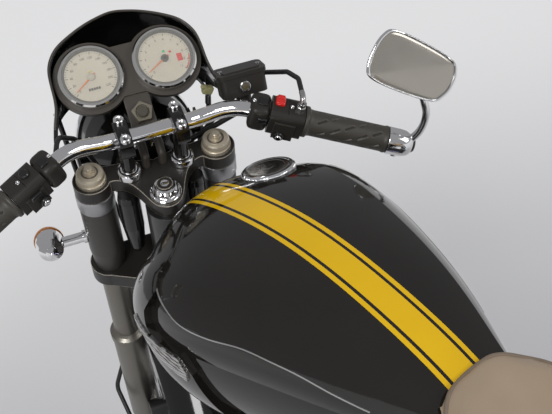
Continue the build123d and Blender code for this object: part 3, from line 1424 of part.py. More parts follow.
root_group = {
    "frame_spine": frame_spine(),
    "frame_cradles": frame_cradles(),
    "seat_rails": seat_rails(),
    "engine_crankcase": engine_crankcase(),
    "engine_covers": engine_covers(),
    "engine_cylinders": engine_cylinders(),
    "engine_head": engine_head(),
    "engine_cam_cover": engine_cam_cover(),
    "carburettors": carburettors(),
    "exhaust_headers": exhaust_headers(),
    "silencers": silencers(),
    "swingarm": swingarm(),
    "rear_axle": rear_axle_bar(),
    "shock_absorbers": shock_absorbers(),
    "drive_chain": drive_chain(),
    "chain_guard": chain_guard(),
    "rear_caliper": rear_caliper(),
    "fuel_tank": fuel_tank(),
    "fuel_cap": fuel_cap(),
    "tank_flashes": tank_flashes(),
    "seat": seat(),
    "tail_cowl": tail_cowl(),
    "rear_mudguard": rear_mudguard(),
    "side_panels": side_panels(),
    "tail_lamp": tail_lamp(),
    "rear_indicators": rear_indicators(),
    "footrests": footrests(),
}

bodies = {
    "frame": root_group,
    "steering": steering_group,
    "front_wheel_set": front_group,
    "rear_wheel_set": rear_wheel_group(),
    "centre_stand_set": {"centre_stand": centre_stand(floor_level)},
    "side_stand_set": {"side_stand": side_stand()},
}

everything = Compound(children=[solid for group in bodies.values() for shape in group.values()
                                for solid in shape.solids()])
extent = everything.bounding_box()
to_origin = Pos(-(extent.min.X + extent.max.X) / 2, -(extent.min.Y + extent.max.Y) / 2, -extent.min.Z)

for group in bodies.values():
    for name, shape in group.items():
        placed = to_origin * Compound(children=list(shape.solids()))
        export_step(placed, f"parts/{name}.step")
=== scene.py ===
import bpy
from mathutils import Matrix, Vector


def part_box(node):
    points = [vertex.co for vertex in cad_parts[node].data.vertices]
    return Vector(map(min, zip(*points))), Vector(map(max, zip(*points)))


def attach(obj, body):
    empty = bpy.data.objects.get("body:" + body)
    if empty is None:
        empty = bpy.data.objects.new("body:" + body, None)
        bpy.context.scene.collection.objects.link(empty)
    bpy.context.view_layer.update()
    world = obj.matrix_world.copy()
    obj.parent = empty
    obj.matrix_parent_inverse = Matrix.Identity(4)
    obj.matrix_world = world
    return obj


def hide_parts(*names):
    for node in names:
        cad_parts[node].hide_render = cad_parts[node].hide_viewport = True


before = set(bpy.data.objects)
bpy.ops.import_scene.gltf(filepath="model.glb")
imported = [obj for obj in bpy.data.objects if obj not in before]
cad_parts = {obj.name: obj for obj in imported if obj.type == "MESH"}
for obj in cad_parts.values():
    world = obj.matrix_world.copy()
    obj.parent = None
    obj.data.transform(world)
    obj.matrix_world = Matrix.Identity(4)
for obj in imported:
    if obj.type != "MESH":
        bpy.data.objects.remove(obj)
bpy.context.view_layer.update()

from math import cos, pi, radians, sin, sqrt

import bmesh
import bpy
from mathutils import Matrix, Vector
from mathutils.bvhtree import BVHTree

# Camera: it stands behind the seat, above it and to its left, and looks down over the tank at the bars.
# It is held with a strong tilt, so that the tank runs from the lower right to the upper left.
axle_low, axle_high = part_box("rear_axle")
rear_axle = (axle_low + axle_high) / 2
axle_height = 0.332
azimuth, elevation, tilt = radians(27.88), radians(29.41), radians(-21.17)
back = Vector((-cos(azimuth) * cos(elevation), sin(azimuth) * cos(elevation), sin(elevation)))
level = (-back).cross(Vector((0, 0, 1))).normalized()
upright = level.cross(-back)
across = level * cos(tilt) + upright * sin(tilt)
rise = upright * cos(tilt) - level * sin(tilt)
eye = rear_axle + Vector((-0.058, 0.4633, 1.5671 - axle_height))
camera = bpy.data.objects.new("camera", bpy.data.cameras.new("camera"))
bpy.context.collection.objects.link(camera)
camera.data.lens = 65.9
camera.data.clip_start = 0.02
camera.data.clip_end = 60
camera.matrix_world = Matrix.Translation(eye) @ Matrix((across, rise, back)).transposed().to_4x4()
bpy.context.scene.camera = camera

# Studio: one pale floor that is also the backdrop, three large soft lamps and an even sky. Far from
# the machine the floor keeps its own pale colour for the camera and for what is mirrored in the metal.
bpy.context.scene.view_settings.view_transform = "Standard"
bpy.ops.mesh.primitive_plane_add(size=40, location=(0, 0, 0))
floor = bpy.context.object
floor.name = "studio_floor"


def feed(tree, made, inputs):
    """Gives each input of a node its value, or the output that feeds it; None leaves it alone."""
    for key, value in inputs.items():
        if isinstance(value, bpy.types.NodeSocket):
            tree.links.new(value, made.inputs[key])
        elif value is not None:
            made.inputs[key].default_value = value


def node(tree, kind, inputs=None, **settings):
    """Adds one node with its settings and inputs, and gives its outputs."""
    made = tree.nodes.new("ShaderNode" + kind)
    for field, value in settings.items():
        setattr(made, field, value)
    feed(tree, made, inputs or {})
    return made.outputs


def blank(name):
    """A new node material, its tree and its surface shader."""
    made = bpy.data.materials.new(name)
    made.use_nodes = True
    return made, made.node_tree, made.node_tree.nodes["Principled BSDF"]


def seen_by(tree, *rays):
    """One where either of two kinds of ray looks, else nothing."""
    kinds = node(tree, "LightPath")
    return node(tree, "Math", {0: kinds[rays[0]], 1: kinds[rays[1]]}, operation="MAXIMUM")["Value"]


studio_pale = (0.74, 0.74, 0.75, 1)
pale_from, pale_beyond = 1.2, 3.2
floor_paint, tree, shader = blank("studio_floor")
feed(tree, shader, {"Base Color": studio_pale, "Roughness": 0.8, "Specular IOR Level": 0.2})
where = node(tree, "TexCoord")["Object"]
distance = node(tree, "VectorMath", {0: where}, operation="LENGTH")["Value"]
far_share = node(tree, "MapRange", {"From Min": pale_from, "From Max": pale_beyond, "Value": distance},
                 interpolation_type="SMOOTHSTEP")["Result"]
seen = seen_by(tree, "Is Camera Ray", "Is Glossy Ray")
share = node(tree, "Math", {0: far_share, 1: seen}, operation="MULTIPLY")["Value"]
own_pale = node(tree, "Emission", {"Color": studio_pale})["Emission"]
both = node(tree, "MixShader", {"Fac": share, 1: shader.outputs["BSDF"], 2: own_pale})["Shader"]
feed(tree, tree.nodes["Material Output"], {"Surface": both})
floor.data.materials.append(floor_paint)

world = bpy.data.worlds.new("studio")
bpy.context.scene.world = world
world.use_nodes = True
tree = world.node_tree
sky = tree.nodes["Background"]
feed(tree, sky, {"Color": (0.62, 0.62, 0.64, 1), "Strength": 0.5})
backdrop = node(tree, "Background", {"Color": studio_pale})["Background"]
seen = seen_by(tree, "Is Camera Ray", "Is Transmission Ray")
both = node(tree, "MixShader", {"Fac": seen, 1: sky.outputs["Background"], 2: backdrop})["Shader"]
feed(tree, tree.nodes["World Output"], {"Surface": both})
lamps = (
    # name, place, width, watts
    ("key_lamp", (-1.9, 2.3, 3.2), 1.5, 78),
    ("fill_lamp", (2.6, -2.8, 2.4), 1.8, 52),
    ("tail_lamp", (-2.8, -1.6, 2.0), 1.4, 26),
)
lit_middle = Vector((0, 0, 0.7))
for name, place, size, power in lamps:
    light = bpy.data.objects.new(name, bpy.data.lights.new(name, "AREA"))
    bpy.context.collection.objects.link(light)
    light.data.energy = power
    light.data.size = size
    light.location = place
    light.rotation_euler = (lit_middle - Vector(place)).to_track_quat("-Z", "Y").to_euler()
    light.visible_glossy = name != "fill_lamp"

# Frame and swingarm: welded steel tube in a hard black enamel, a little orange-peeled, rubbed thin and
# browner on the edges of its lugs. Everything is measured in millimetres from the road under the rear
# axle, as the machine was drawn.
bike = Matrix.Translation(rear_axle - Vector((0, 0, axle_height)))
drawn_from = {"frame": bike}


def finish(name, colour, rough, metal=0.0, coat=0.0, tone=0.12, tone_size=11.0, spread=0.05, grain=0.0,
           grain_size=900.0, soft_edge=0.0, edge_wear_and_highlight=None, rubbed_metal=0.0):
    """One finish as a node material: an uneven tone and gloss, a grain, and softened edges in their own
    colour, for wear and, on the yokes, for a painted highlight.
    """
    pale_edge_starts, pale_edge_full = 0.97, 0.80
    made, tree, shader = blank(name)
    where = node(tree, "TexCoord")["Object"]
    cloudy = node(tree, "TexNoise", {"Scale": tone_size, "Detail": 4.0, "Vector": where})["Fac"]
    darker, paler = [[min(1.0, part * by) for part in colour] for by in (1 - tone, 1 + tone)]
    tint = node(tree, "Mix", {"A": (*darker, 1), "B": (*paler, 1), "Factor": cloudy},
                data_type="RGBA")["Result"]
    gloss = node(tree, "MapRange", {"To Min": max(0.0, rough - spread), "To Max": min(1.0, rough + spread),
                                    "Value": cloudy})["Result"]
    normal = node(tree, "Bevel", {"Radius": soft_edge}, samples=4)["Normal"] if soft_edge else None
    # Edges take their own colour here: edge wear on most finishes, and a painted highlight along the yokes'
    # edges.
    if edge_wear_and_highlight:
        plain = node(tree, "NewGeometry")["Normal"]
        lean = node(tree, "VectorMath", {0: normal, 1: plain}, operation="DOT_PRODUCT")["Value"]
        edge_wear_and_highlight_share = node(tree, "MapRange", {"From Min": pale_edge_starts, "From Max": pale_edge_full,
                                       "Value": lean})["Result"]
        tint = node(tree, "Mix", {"A": tint, "B": (*edge_wear_and_highlight, 1), "Factor": edge_wear_and_highlight_share}, data_type="RGBA")["Result"]
        if rubbed_metal:
            metal = node(tree, "MapRange", {"To Min": metal, "To Max": rubbed_metal,
                                            "Value": edge_wear_and_highlight_share})["Result"]
    if grain:
        fine = node(tree, "TexNoise", {"Scale": grain_size, "Vector": where})["Fac"]
        normal = node(tree, "Bump", {"Strength": grain, "Distance": 0.0004, "Height": fine,
                                     "Normal": normal})["Normal"]
    feed(tree, shader, {"Base Color": tint, "Metallic": metal, "Roughness": gloss, "Coat Weight": coat,
                        "Coat Roughness": 0.05, "Normal": normal})
    return made


def wear(material, *names):
    """Puts one finish on pieces of the frame that keep their own shape."""
    for name in names:
        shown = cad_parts[name]
        shown.data.materials.clear()
        shown.data.materials.append(material)


frame_enamel = finish("frame_enamel", (0.013, 0.013, 0.0135), 0.3, coat=0.4, grain=0.06, grain_size=320,
                      soft_edge=0.0012, edge_wear_and_highlight=(0.045, 0.042, 0.038))
wear(frame_enamel, "frame_spine", "frame_cradles", "seat_rails", "swingarm")

# Engine: cast alloy in a black stove enamel, the edges of its fins machined bright after painting, with
# two polished side covers screwed on, domed nuts on the cam cover and a plug to fill the oil.
cover_x, cover_z, cover_face = 709.0, 348.0, 154.0


def knit(shape, rings, ends=False):
    """Joins rings of corners, each to the next, and closes both ends where asked."""
    for low, top in zip(rings, rings[1:]):
        steps = max(len(low), len(top))
        for step in range(steps):
            after = (step + 1) % steps
            corners = dict.fromkeys((low[step % len(low)], low[after % len(low)],
                                     top[after % len(top)], top[step % len(top)]))
            if len(corners) > 2:
                shape.faces.new(tuple(corners))
    if ends:
        shape.faces.new(rings[0])
        shape.faces.new(rings[-1])


def around(reach, angle, high=0.0):
    """A point at a distance and an angle round an upright axis."""
    return Vector((reach * cos(angle), reach * sin(angle), high))


def spin(shape, outline, place=Matrix(), steps=40, cut=None, closed=False):
    """Adds a turned form of rings (distance from the axis, height); a third value makes one a hexagon.

    A cut tells how deep the form is carved at (distance, height, angle); a closed form joins its two ends.
    """
    rings = []
    for far, high, *six in outline:
        ring = []
        for step in range(1 if far < 1e-6 else steps):
            angle = 2 * pi * step / steps
            reach = far * cos(pi / 6) / cos(angle % (pi / 3) - pi / 6) if six else far
            reach -= cut(far, high, angle) if cut else 0
            ring.append(shape.verts.new(place @ around(reach, angle, high)))
        rings.append(ring)
    knit(shape, rings + rings[:1] if closed else rings)


def fit(name, shape, material, body, slot, crisp=32):
    """Makes a piece of a form drawn in millimetres from its body's own place, and fastens it there."""
    bmesh.ops.recalc_face_normals(shape, faces=shape.faces)
    place = drawn_from[body]
    shape.transform(place.to_3x3().to_4x4() @ Matrix.Diagonal((0.001, 0.001, 0.001, 1)))
    mesh = bpy.data.meshes.new(name)
    shape.to_mesh(mesh)
    shape.free()
    for face in mesh.polygons:
        face.use_smooth = True
    mesh.set_sharp_from_angle(angle=radians(crisp))
    mesh.materials.append(material)
    piece = bpy.data.objects.new(name, mesh)
    bpy.context.collection.objects.link(piece)
    piece.location = place.translation
    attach(piece, body)
    return piece


def turned(name, outline, place, steps, *fitting):
    """Makes a piece of one turned form."""
    shape = bmesh.new()
    spin(shape, outline, place, steps)
    return fit(name, shape, *fitting)


def moved(x, y, z):
    """A place shifted within a piece's own directions, in millimetres."""
    return Matrix.Translation((x, y, z))


def facing(origin, outward):
    """A place, in millimetres, whose own upward axis points outward."""
    turn = Vector(outward).to_track_quat("Z", "Y").to_matrix().to_4x4()
    return Matrix.Translation(Vector(origin)) @ turn


def socket_bolt(shape, place, radius, tall):
    """A cap screw with its hexagon socket."""
    socket = 0.52 * radius
    spin(shape, [(radius, 0), (radius, tall - 0.12 * radius), (0.88 * radius, tall), (0.6 * radius, tall),
                 (socket, tall - 0.1 * radius, True), (socket, 0.4 * tall, True), (0, 0.35 * tall)],
         place, 24)


def dome_nut(shape, place, radius):
    """A hexagon nut with a domed end on its washer."""
    washer = 1.2
    spin(shape, [(1.35 * radius, 0), (1.35 * radius, washer), (0.9 * radius, washer)], place, 24)
    dome = ((0.86, 1.15), (0.78, 1.3), (0.6, 1.62), (0.3, 1.8), (0, 1.86))
    spin(shape, [(radius, washer, True), (radius, radius, True)]
         + [(far * radius, high * radius) for far, high in dome], place, 24)


engine_enamel = finish("engine_enamel", (0.022, 0.022, 0.023), 0.4, grain=0.3, grain_size=500, tone=0.25,
                       soft_edge=0.0007, edge_wear_and_highlight=(0.3, 0.3, 0.3), rubbed_metal=0.8)
case_enamel = finish("case_enamel", (0.03, 0.03, 0.031), 0.42, grain=0.35, grain_size=420, tone=0.2,
                     soft_edge=0.002)
polished_alloy = finish("polished_alloy", (0.66, 0.66, 0.67), 0.17, metal=1.0, tone=0.06, tone_size=30,
                        spread=0.06, grain=0.03, soft_edge=0.0015)
cast_alloy = finish("cast_alloy", (0.46, 0.46, 0.47), 0.38, metal=1.0, tone=0.1, grain=0.35, grain_size=600,
                    soft_edge=0.001)
screw_steel = finish("screw_steel", (0.55, 0.55, 0.56), 0.2, metal=1.0, tone=0.15, tone_size=60,
                     spread=0.08)
wear(case_enamel, "engine_crankcase")
wear(engine_enamel, "engine_cylinders", "engine_head", "engine_cam_cover")
wear(polished_alloy, "engine_covers")
wear(cast_alloy, "carburettors")
bolt_ring = ((-128, 40), (-70, 66), (-20, 66), (70, 66), (120, 45), (136, 0), (120, -45), (70, -66),
             (0, -66), (-70, -66), (-128, -40))
boss_ahead, boss_circle, boss_tall, boss_screws = 72, 44, 13.6, 5
screws = bmesh.new()
for side in (1, -1):
    for x, z in bolt_ring:
        spot = (cover_x + x, side * (cover_face - 0.4), cover_z + z)
        socket_bolt(screws, facing(spot, (0, side, 0)), 5.2, 5)
    for index in range(boss_screws):
        angle = 2 * pi * index / boss_screws + 0.3
        spot = (cover_x + boss_ahead + boss_circle * cos(angle), side * (cover_face + boss_tall),
                cover_z + boss_circle * sin(angle))
        socket_bolt(screws, facing(spot, (0, side, 0)), 4.6, 4.5)
    for x in (680, 750):
        for y in (40, 105):
            dome_nut(screws, moved(x, side * y, 677.5), 7.5)
fit("engine_screws", screws, screw_steel, "frame", "steel")
plug_x, plug_y, plug_z, lobes = cover_x - 60, -cover_face + 0.3, cover_z + 30, 8
oil_plug = bmesh.new()
spin(oil_plug, [(0, 0), (15, 0), (15, 9), (14, 10), (11, 10), (10.4, 8.5), (0, 8.5)],
     facing((plug_x, plug_y, plug_z), (0, -1, 0)), 24)
for index in range(lobes):
    angle = 2 * pi * index / lobes
    lobe = facing((plug_x + 14 * cos(angle), plug_y, plug_z + 14 * sin(angle)), (0, -1, 0))
    spin(oil_plug, [(0, 0), (3, 0), (3, 8.4), (2.2, 9.2), (0, 9.2)], lobe, 12)
fit("oil_filler_plug", oil_plug, cast_alloy, "frame", "aluminium")

# Exhaust: steel pipes and mufflers, chromed; the heat has turned the pipes straw and blue below the
# ports. Each muffler is clamped on its pipe with a band and one bolt.
chrome = finish("chrome", (0.82, 0.82, 0.83), 0.05, metal=1.0, tone=0.05, tone_size=25, spread=0.035,
                soft_edge=0.0008)
header_chrome = finish("header_chrome", (0.78, 0.77, 0.76), 0.09, metal=1.0, tone=0.08)


def ramp(tree, share, stops, interpolation="LINEAR"):
    """Adds a run of colours, given as (share, colour) from low to high, and gives its colour."""
    colour = node(tree, "ValToRGB", {"Fac": share})["Color"]
    band = colour.node.color_ramp
    band.interpolation = interpolation
    for element, (stop, tint) in zip(band.elements, (stops[0], stops[-1])):
        element.position, element.color = stop, (*tint, 1)
    for stop, tint in stops[1:-1]:
        band.elements.new(stop).color = (*tint, 1)
    return colour


def overlay(tree, colour, share, blend):
    """Lays a colour over a finish's own."""
    shader = tree.nodes["Principled BSDF"]
    own = shader.inputs["Base Color"].links[0].from_socket
    laid = node(tree, "Mix", {"A": own, "B": colour, "Factor": share}, data_type="RGBA", blend_type=blend)
    feed(tree, shader, {"Base Color": laid["Result"]})


tree = header_chrome.node_tree
where = node(tree, "TexCoord")["Object"]
ports = bike @ Vector((0.80, 0, 0.586))
from_ports = node(tree, "VectorMath", {0: where, 1: ports}, operation="DISTANCE")["Value"]
heat_colours = ((0.02, (0.42, 0.36, 0.30)), (0.10, (0.28, 0.33, 0.55)), (0.17, (0.52, 0.36, 0.42)),
                (0.24, (0.86, 0.70, 0.42)), (0.34, (1, 1, 1)))
heat = ramp(tree, from_ports, heat_colours)
overlay(tree, heat, 1.0, "MULTIPLY")
wear(header_chrome, "exhaust_headers")
wear(chrome, "silencers")
muffler_aside = 165
muffler_clamps = bmesh.new()
for side in (1, -1):
    band = facing((421, side * muffler_aside, 214.5), (-1, 0, 0.059))
    spin(muffler_clamps, [(21.5, -4), (25, -4), (26, -2.6), (26, 12.6), (25, 14), (21.5, 14), (21.5, -4)],
         band, 48)
    socket_bolt(muffler_clamps, facing((416, side * muffler_aside, 182), (0, 0, -1)), 5, 7)
fit("muffler_clamps", muffler_clamps, screw_steel, "frame", "steel")

# Rear shocks: a damper and its rod in black enamel inside a coil spring of chromed wire, between two
# rubber-bushed eyes, with a stepped collar that sets the spring's preload.
shock_ends = (Vector((40, 150, 376)), Vector((78, 134, 770)))


def tube(shape, points, radius, steps=12):
    """Adds a round tube along points, closed at both ends."""
    points = [Vector(point) for point in points]
    turns = [2 * pi * step / steps for step in range(steps)]
    rings, side = [], None
    for index, point in enumerate(points):
        along = (points[min(index + 1, len(points) - 1)] - points[max(index - 1, 0)]).normalized()
        side = along.orthogonal() if side is None else side - along * side.dot(along)
        side.normalize()
        other = along.cross(side)
        rings.append([shape.verts.new(point + (side * cos(turn) + other * sin(turn)) * radius)
                      for turn in turns])
    knit(shape, rings, ends=True)


coil_radius, coil_turns, coil_steps, coil_foot, coil_rest = 21.6, 9.5, 24, 38, 90
springs, dampers = bmesh.new(), bmesh.new()
for side in (1, -1):
    foot, head = [Vector((point.x, side * point.y, point.z)) for point in shock_ends]
    along = facing(foot, head - foot)
    length = (head - foot).length
    lower = [(0, 10), (11, 10), (13, 16), (16, 22), (23.5, 24), (23.5, 34), (17, 35), (17, 190), (15, 194),
             (8, 194)]
    upper = [(8, 60), (14, 58), (24.5, 52), (24.5, 44), (17, 38), (15, 16), (11, 12), (0, 10)]
    spin(dampers, lower + [(far, length - drop) for far, drop in upper], along)
    for eye_at in (foot, head):
        spin(dampers, [(7.3, -12), (13.5, -12), (15, -10.5), (15, 10.5), (13.5, 12), (7.3, 12), (7.3, -12)],
             facing(eye_at, (0, 1, 0)), 36)
    coils = []
    for step in range(int(coil_turns * coil_steps) + 1):
        height = coil_foot + (length - coil_rest) * step / (coil_turns * coil_steps)
        coils.append(along @ around(coil_radius, 2 * pi * step / coil_steps, height))
    tube(springs, coils, 4.1, 10)
damper_black = finish("damper_black", (0.02, 0.02, 0.021), 0.25, coat=0.5, soft_edge=0.001)
fit("shock_dampers", dampers, damper_black, "frame", "chrome")
shown_springs = fit("shock_springs", springs, chrome, "frame", "chrome")
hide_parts("shock_absorbers")

# Chain and its guard: oiled steel plates and rollers, browned by road film, under a guard pressed from
# chromed sheet. The rear spindle is plated steel.
chain_steel = finish("chain_steel", (0.2, 0.175, 0.14), 0.4, metal=0.9, tone=0.35, tone_size=120,
                     spread=0.14, soft_edge=0.0006)
plated_steel = finish("plated_steel", (0.5, 0.5, 0.49), 0.26, metal=1.0, tone=0.15, tone_size=50,
                      spread=0.08, soft_edge=0.001)
wear(chain_steel, "drive_chain")
wear(plated_steel, "rear_sprocket", "rear_axle", "front_axle")
wear(chrome, "chain_guard")

# Brakes: a ground steel disc on each wheel, clouded where the pads run, and cast calipers in black
# enamel with their edges rubbed bright, bolted to the fork leg and to the swingarm.
disc_steel = finish("disc_steel", (0.44, 0.44, 0.43), 0.3, metal=1.0, tone=0.18, tone_size=45, spread=0.1,
                    soft_edge=0.0006)
caliper_black = finish("caliper_black", (0.018, 0.018, 0.018), 0.35, grain=0.2, soft_edge=0.002,
                       edge_wear_and_highlight=(0.2, 0.2, 0.2), rubbed_metal=0.5)
wear(disc_steel, "front_disc", "rear_disc")
wear(caliper_black, "front_caliper", "rear_caliper")

# Wheels: polished alloy rims laced with plated spokes, screwed up by nipples, with a brass valve in
# each rim, and road tyres of black rubber with a zigzag centre groove and slanted side grooves.
wheelbase, front_axle_height, fork_ahead, fork_aside, fork_drop = 1490, 318.5, 58, 91, 744
steer_angle = radians(-22)
rake = radians(27)
yoke_top = (Vector((wheelbase, 0, front_axle_height)) - Vector((cos(rake), 0, sin(rake))) * fork_ahead
            + Vector((-sin(rake), 0, cos(rake))) * fork_drop) / 1000
head_axes = Matrix(((cos(rake), 0, -sin(rake)), (0, 1, 0), (sin(rake), 0, cos(rake)))).to_4x4()
bars = bike @ Matrix.Translation(yoke_top) @ head_axes @ Matrix.Rotation(steer_angle, 4, "Z")
drawn_from["steering"] = bars
drawn_from["front_wheel_set"] = bars @ moved(fork_ahead / 1000, 0, -fork_drop / 1000)
drawn_from["rear_wheel_set"] = Matrix.Translation(rear_axle)
wheels = (
    # name, tyre radius, tyre width, bead radius, rim width, bars of tread round the tyre
    ("front", 318.3, 100.0, 228.6, 62.0, 56),
    ("rear", 319.8, 130.0, 215.9, 86.0, 50),
)


def tyre_section(radius, width, bead, rim):
    """Half of a tyre's outline from its bead to the middle of its crown: (side, distance from the axle)."""
    half, height = width / 2, radius - bead
    inner, flange, wide, shoulder = rim / 2 - 5.3, bead + 12, bead + 0.5 * height, bead + 0.82 * height
    shoulder_reach, wall_steps, crown_steps = 0.86 * half, 6, 22
    walls = (((inner, flange), (0.93 * half, bead + 0.26 * height), (half, wide)),
             ((half, wide), (0.965 * half, bead + 0.68 * height), (shoulder_reach, shoulder)))
    points = [(inner, bead - 1.7), (inner, flange)]
    for wall in walls:
        for step in range(1, wall_steps + 1):
            t = step / wall_steps
            weights = (2 * (t - 0.5) * (t - 1), -4 * t * (t - 1), 2 * t * (t - 0.5))
            points.append(tuple(sum(weight * corner[axis] for weight, corner in zip(weights, wall))
                                for axis in (0, 1)))
    drop = radius - shoulder
    round_crown = (shoulder_reach * shoulder_reach + drop * drop) / (2 * drop)
    for step in range(1, crown_steps + 1):
        side = shoulder_reach * (1 - step / crown_steps)
        points.append((side, radius - round_crown + sqrt(round_crown * round_crown - side * side)))
    return points


def tread_depth(side, angle, half, blocks):
    """How deep the tread is cut at one place: a zigzag in the middle, slanted grooves beside it."""
    swing, zigzag_half, zigzag_deep, slant_deep, slant_share = 3.2, 1.9, 4.5, 4.0, 0.16
    slants_from, slants_to, slants_lean = 0.24, 0.8, 1.1
    turn = angle * blocks / (2 * pi)
    wave = abs((turn * 0.5) % 1.0 - 0.5) * 4 - 1
    if abs(side - swing * wave) < zigzag_half:
        return zigzag_deep
    lean = (turn + (0.25 if side > 0 else 0.75) + slants_lean * abs(side) / half) % 1.0
    return slant_deep if slants_from * half < abs(side) < slants_to * half and lean < slant_share else 0.0


tyre_rubber = finish("tyre_rubber", (0.021, 0.021, 0.0205), 0.72, tone=0.3, tone_size=20, spread=0.1,
                     grain=0.4, grain_size=700)
valve_brass = finish("valve_brass", (0.55, 0.42, 0.2), 0.3, metal=1.0, tone=0.15, tone_size=80)
wear(polished_alloy, "front_wheel", "rear_wheel")
tyre_steps, spokes, spoke_aside, spoke_lean = 448, 36, 0.06, 0.08
rim_wall, nipple_deep = 2, 14
for name, radius, width, bead, rim, blocks in wheels:
    body = f"{name}_wheel_set"
    half_outline = tyre_section(radius, width, bead, rim)
    outline = half_outline + [(-side, far) for side, far in reversed(half_outline[:-1])]
    tread_from = bead + 0.8 * (radius - bead)
    tyre, rings = bmesh.new(), []
    for step in range(tyre_steps):
        angle = 2 * pi * step / tyre_steps
        ring = []
        for side, far in outline:
            reach = far - (tread_depth(side, angle, width / 2, blocks) if far > tread_from else 0.0)
            ring.append(tyre.verts.new((reach * cos(angle), side, reach * sin(angle))))
        rings.append(ring)
    knit(tyre, rings + rings[:1])
    shown = fit(f"{name}_tyre_tread", tyre, tyre_rubber, body, "tyre", 40)
    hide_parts(f"{name}_tyre")
    nipples, nipple_from = bmesh.new(), bead - rim_wall - nipple_deep
    for index in range(spokes):
        lean_side = 1 if index % 2 else -1
        angle = 2 * pi * index / spokes
        spot = (nipple_from * cos(angle), lean_side * spoke_aside * rim, nipple_from * sin(angle))
        spin(nipples, [(0, 9), (2.8, 9), (3.2, 7), (3.2, 0), (0, 0)],
             facing(spot, (-cos(angle), -lean_side * spoke_lean, -sin(angle))), 8)
    fit(f"{name}_spoke_nipples", nipples, plated_steel, body, "steel")
    valve = [(0, 0), (5.5, 0), (5, 4), (3.4, 8), (3.4, 22), (4.2, 23), (4.2, 30), (3.4, 31.5), (0, 31.5)]
    turned(f"{name}_valve", valve, moved(0, 0, -nipple_from), 16, valve_brass, body, "brass")

# Fork, yokes and lamp ears: forged yokes in satin brown-black, plated legs in polished sliders, satin
# sleeves between the yokes and glossy lobes beside the head. The caps are anodised, the stem's nut is
# chromed. These are drawn from the yoke's top on the steering axis, forward, to the left and upward.
# The yokes' pale cream edges are a painted highlight: they stand for the light that their edges catch.
yoke_black = finish("yoke_black", (0.022, 0.0195, 0.0165), 0.36, tone=0.2, grain=0.2, grain_size=700,
                    soft_edge=0.0024, edge_wear_and_highlight=(0.85, 0.77, 0.64))
sleeve_satin = finish("sleeve_satin", (0.05, 0.0455, 0.04), 0.4, tone=0.15, grain=0.1, soft_edge=0.001)
gloss_black = finish("gloss_black", (0.007, 0.0065, 0.006), 0.1, coat=0.2, tone=0.3, spread=0.03,
                     soft_edge=0.0012)
leg_alloy = finish("leg_alloy", (0.25, 0.235, 0.205), 0.34, metal=0.9, tone=0.08, tone_size=30, spread=0.06,
                   soft_edge=0.001)
cap_anodised = finish("cap_anodised", (0.70, 0.62, 0.48), 0.36, metal=0.45, tone_size=70,
                      spread=0.08, grain=0.12)
wear(yoke_black, "upper_yoke", "lower_yoke")
wear(sleeve_satin, "lamp_brackets")
wear(gloss_black, "yoke_lobes", "front_mudguard", "rear_mudguard")
wear(leg_alloy, "fork_legs")
stem_nut, fork_caps, sleeve_rings, yoke_bolts = [bmesh.new() for _ in range(4)]
spin(stem_nut, [(21.7, -4.9), (21.7, -1.4), (20.6, -0.4), (18.4, 0.4), (16.7, 0.6)], steps=48)
spin(stem_nut, [(16.7, 0.4, True), (16.7, 9.4, True), (15.6, 11.2), (14.4, 11.8), (11.4, 12), (10.8, 11.4),
                (10.4, 11.4), (9.6, 13.4), (7.2, 14.8), (3.6, 15.2), (0, 15.3)], steps=48)
for side in (1, -1):
    leg = moved(fork_ahead, side * fork_aside, 0)
    spin(fork_caps, [(20.9, -4.9), (20.9, -0.3), (20.2, 0.4), (19.3, 0.6), (19.3, 8.9), (17.6, 11.2),
                     (12.4, 11.5), (12, 10.9), (9.6, 10.9), (9.4, 12.2), (8.6, 12.4, True), (8.6, 16.2, True),
                     (7.4, 17.4), (5.7, 17.5), (5.7, 20.6), (4.6, 21.5), (0, 21.5)], leg, 48)
    spin(sleeve_rings, [(24.2, -28.4), (26.5, -29), (27.2, -31), (27.2, -54), (26.4, -56), (25.4, -56)],
         leg, 56)
    for drop in (-10.5, -21.5):
        socket_bolt(yoke_bolts, facing((84.2, side * 78, drop), (1, side * -0.15, 0)), 3.6, 4)
fit("stem_nut", stem_nut, chrome, "steering", "chrome")
fit("fork_caps", fork_caps, cap_anodised, "steering", "fork_silver")
fit("sleeve_rings", sleeve_rings, cast_alloy, "steering", "aluminium")
fit("yoke_pinch_bolts", yoke_bolts, screw_steel, "steering", "steel")

# Handlebar and its clamps: a chromed tube, with a few fine hairlines, pinched in two slim black heads
# on black posts. Each post stands in a chromed ring nut, and each head is closed by two socket screws.
bar_chrome = finish("bar_chrome", (0.84, 0.84, 0.85), 0.045, metal=1.0, tone=0.04, tone_size=40,
                    spread=0.04, grain=0.03, grain_size=2400)
wear(bar_chrome, "handlebar")
wear(gloss_black, "bar_clamps")
clamp_aside = 38
ring_nuts, clamp_screws, clamp_domes = [bmesh.new() for _ in range(3)]
for side in (1, -1):
    spin(ring_nuts, [(9.6, 0.1), (16.6, 0.1), (17.3, 1.2), (17.3, 9.4), (16.4, 11), (14.8, 11.8), (12.6, 12),
                     (11.6, 13.6), (9.6, 13.8), (9.6, 0.1)], moved(49, side * clamp_aside, -4.7), 48)
    for ahead in (24, 60):
        socket_bolt(clamp_screws, moved(ahead, side * clamp_aside, 90.5), 7.0, 6.2)
    spin(clamp_domes, [(0, -0.3), (9, -0.3), (8.8, 1.2), (7.4, 3.0), (4.4, 4.4), (0, 4.9)],
         moved(42, side * clamp_aside, 90.3) @ Matrix.Diagonal((1.15, 0.82, 1, 1)))
fit("clamp_domes", clamp_domes, gloss_black, "steering", "gloss_black")
fit("clamp_ring_nuts", ring_nuts, chrome, "steering", "chrome")
fit("clamp_screws", clamp_screws, chrome, "steering", "chrome")

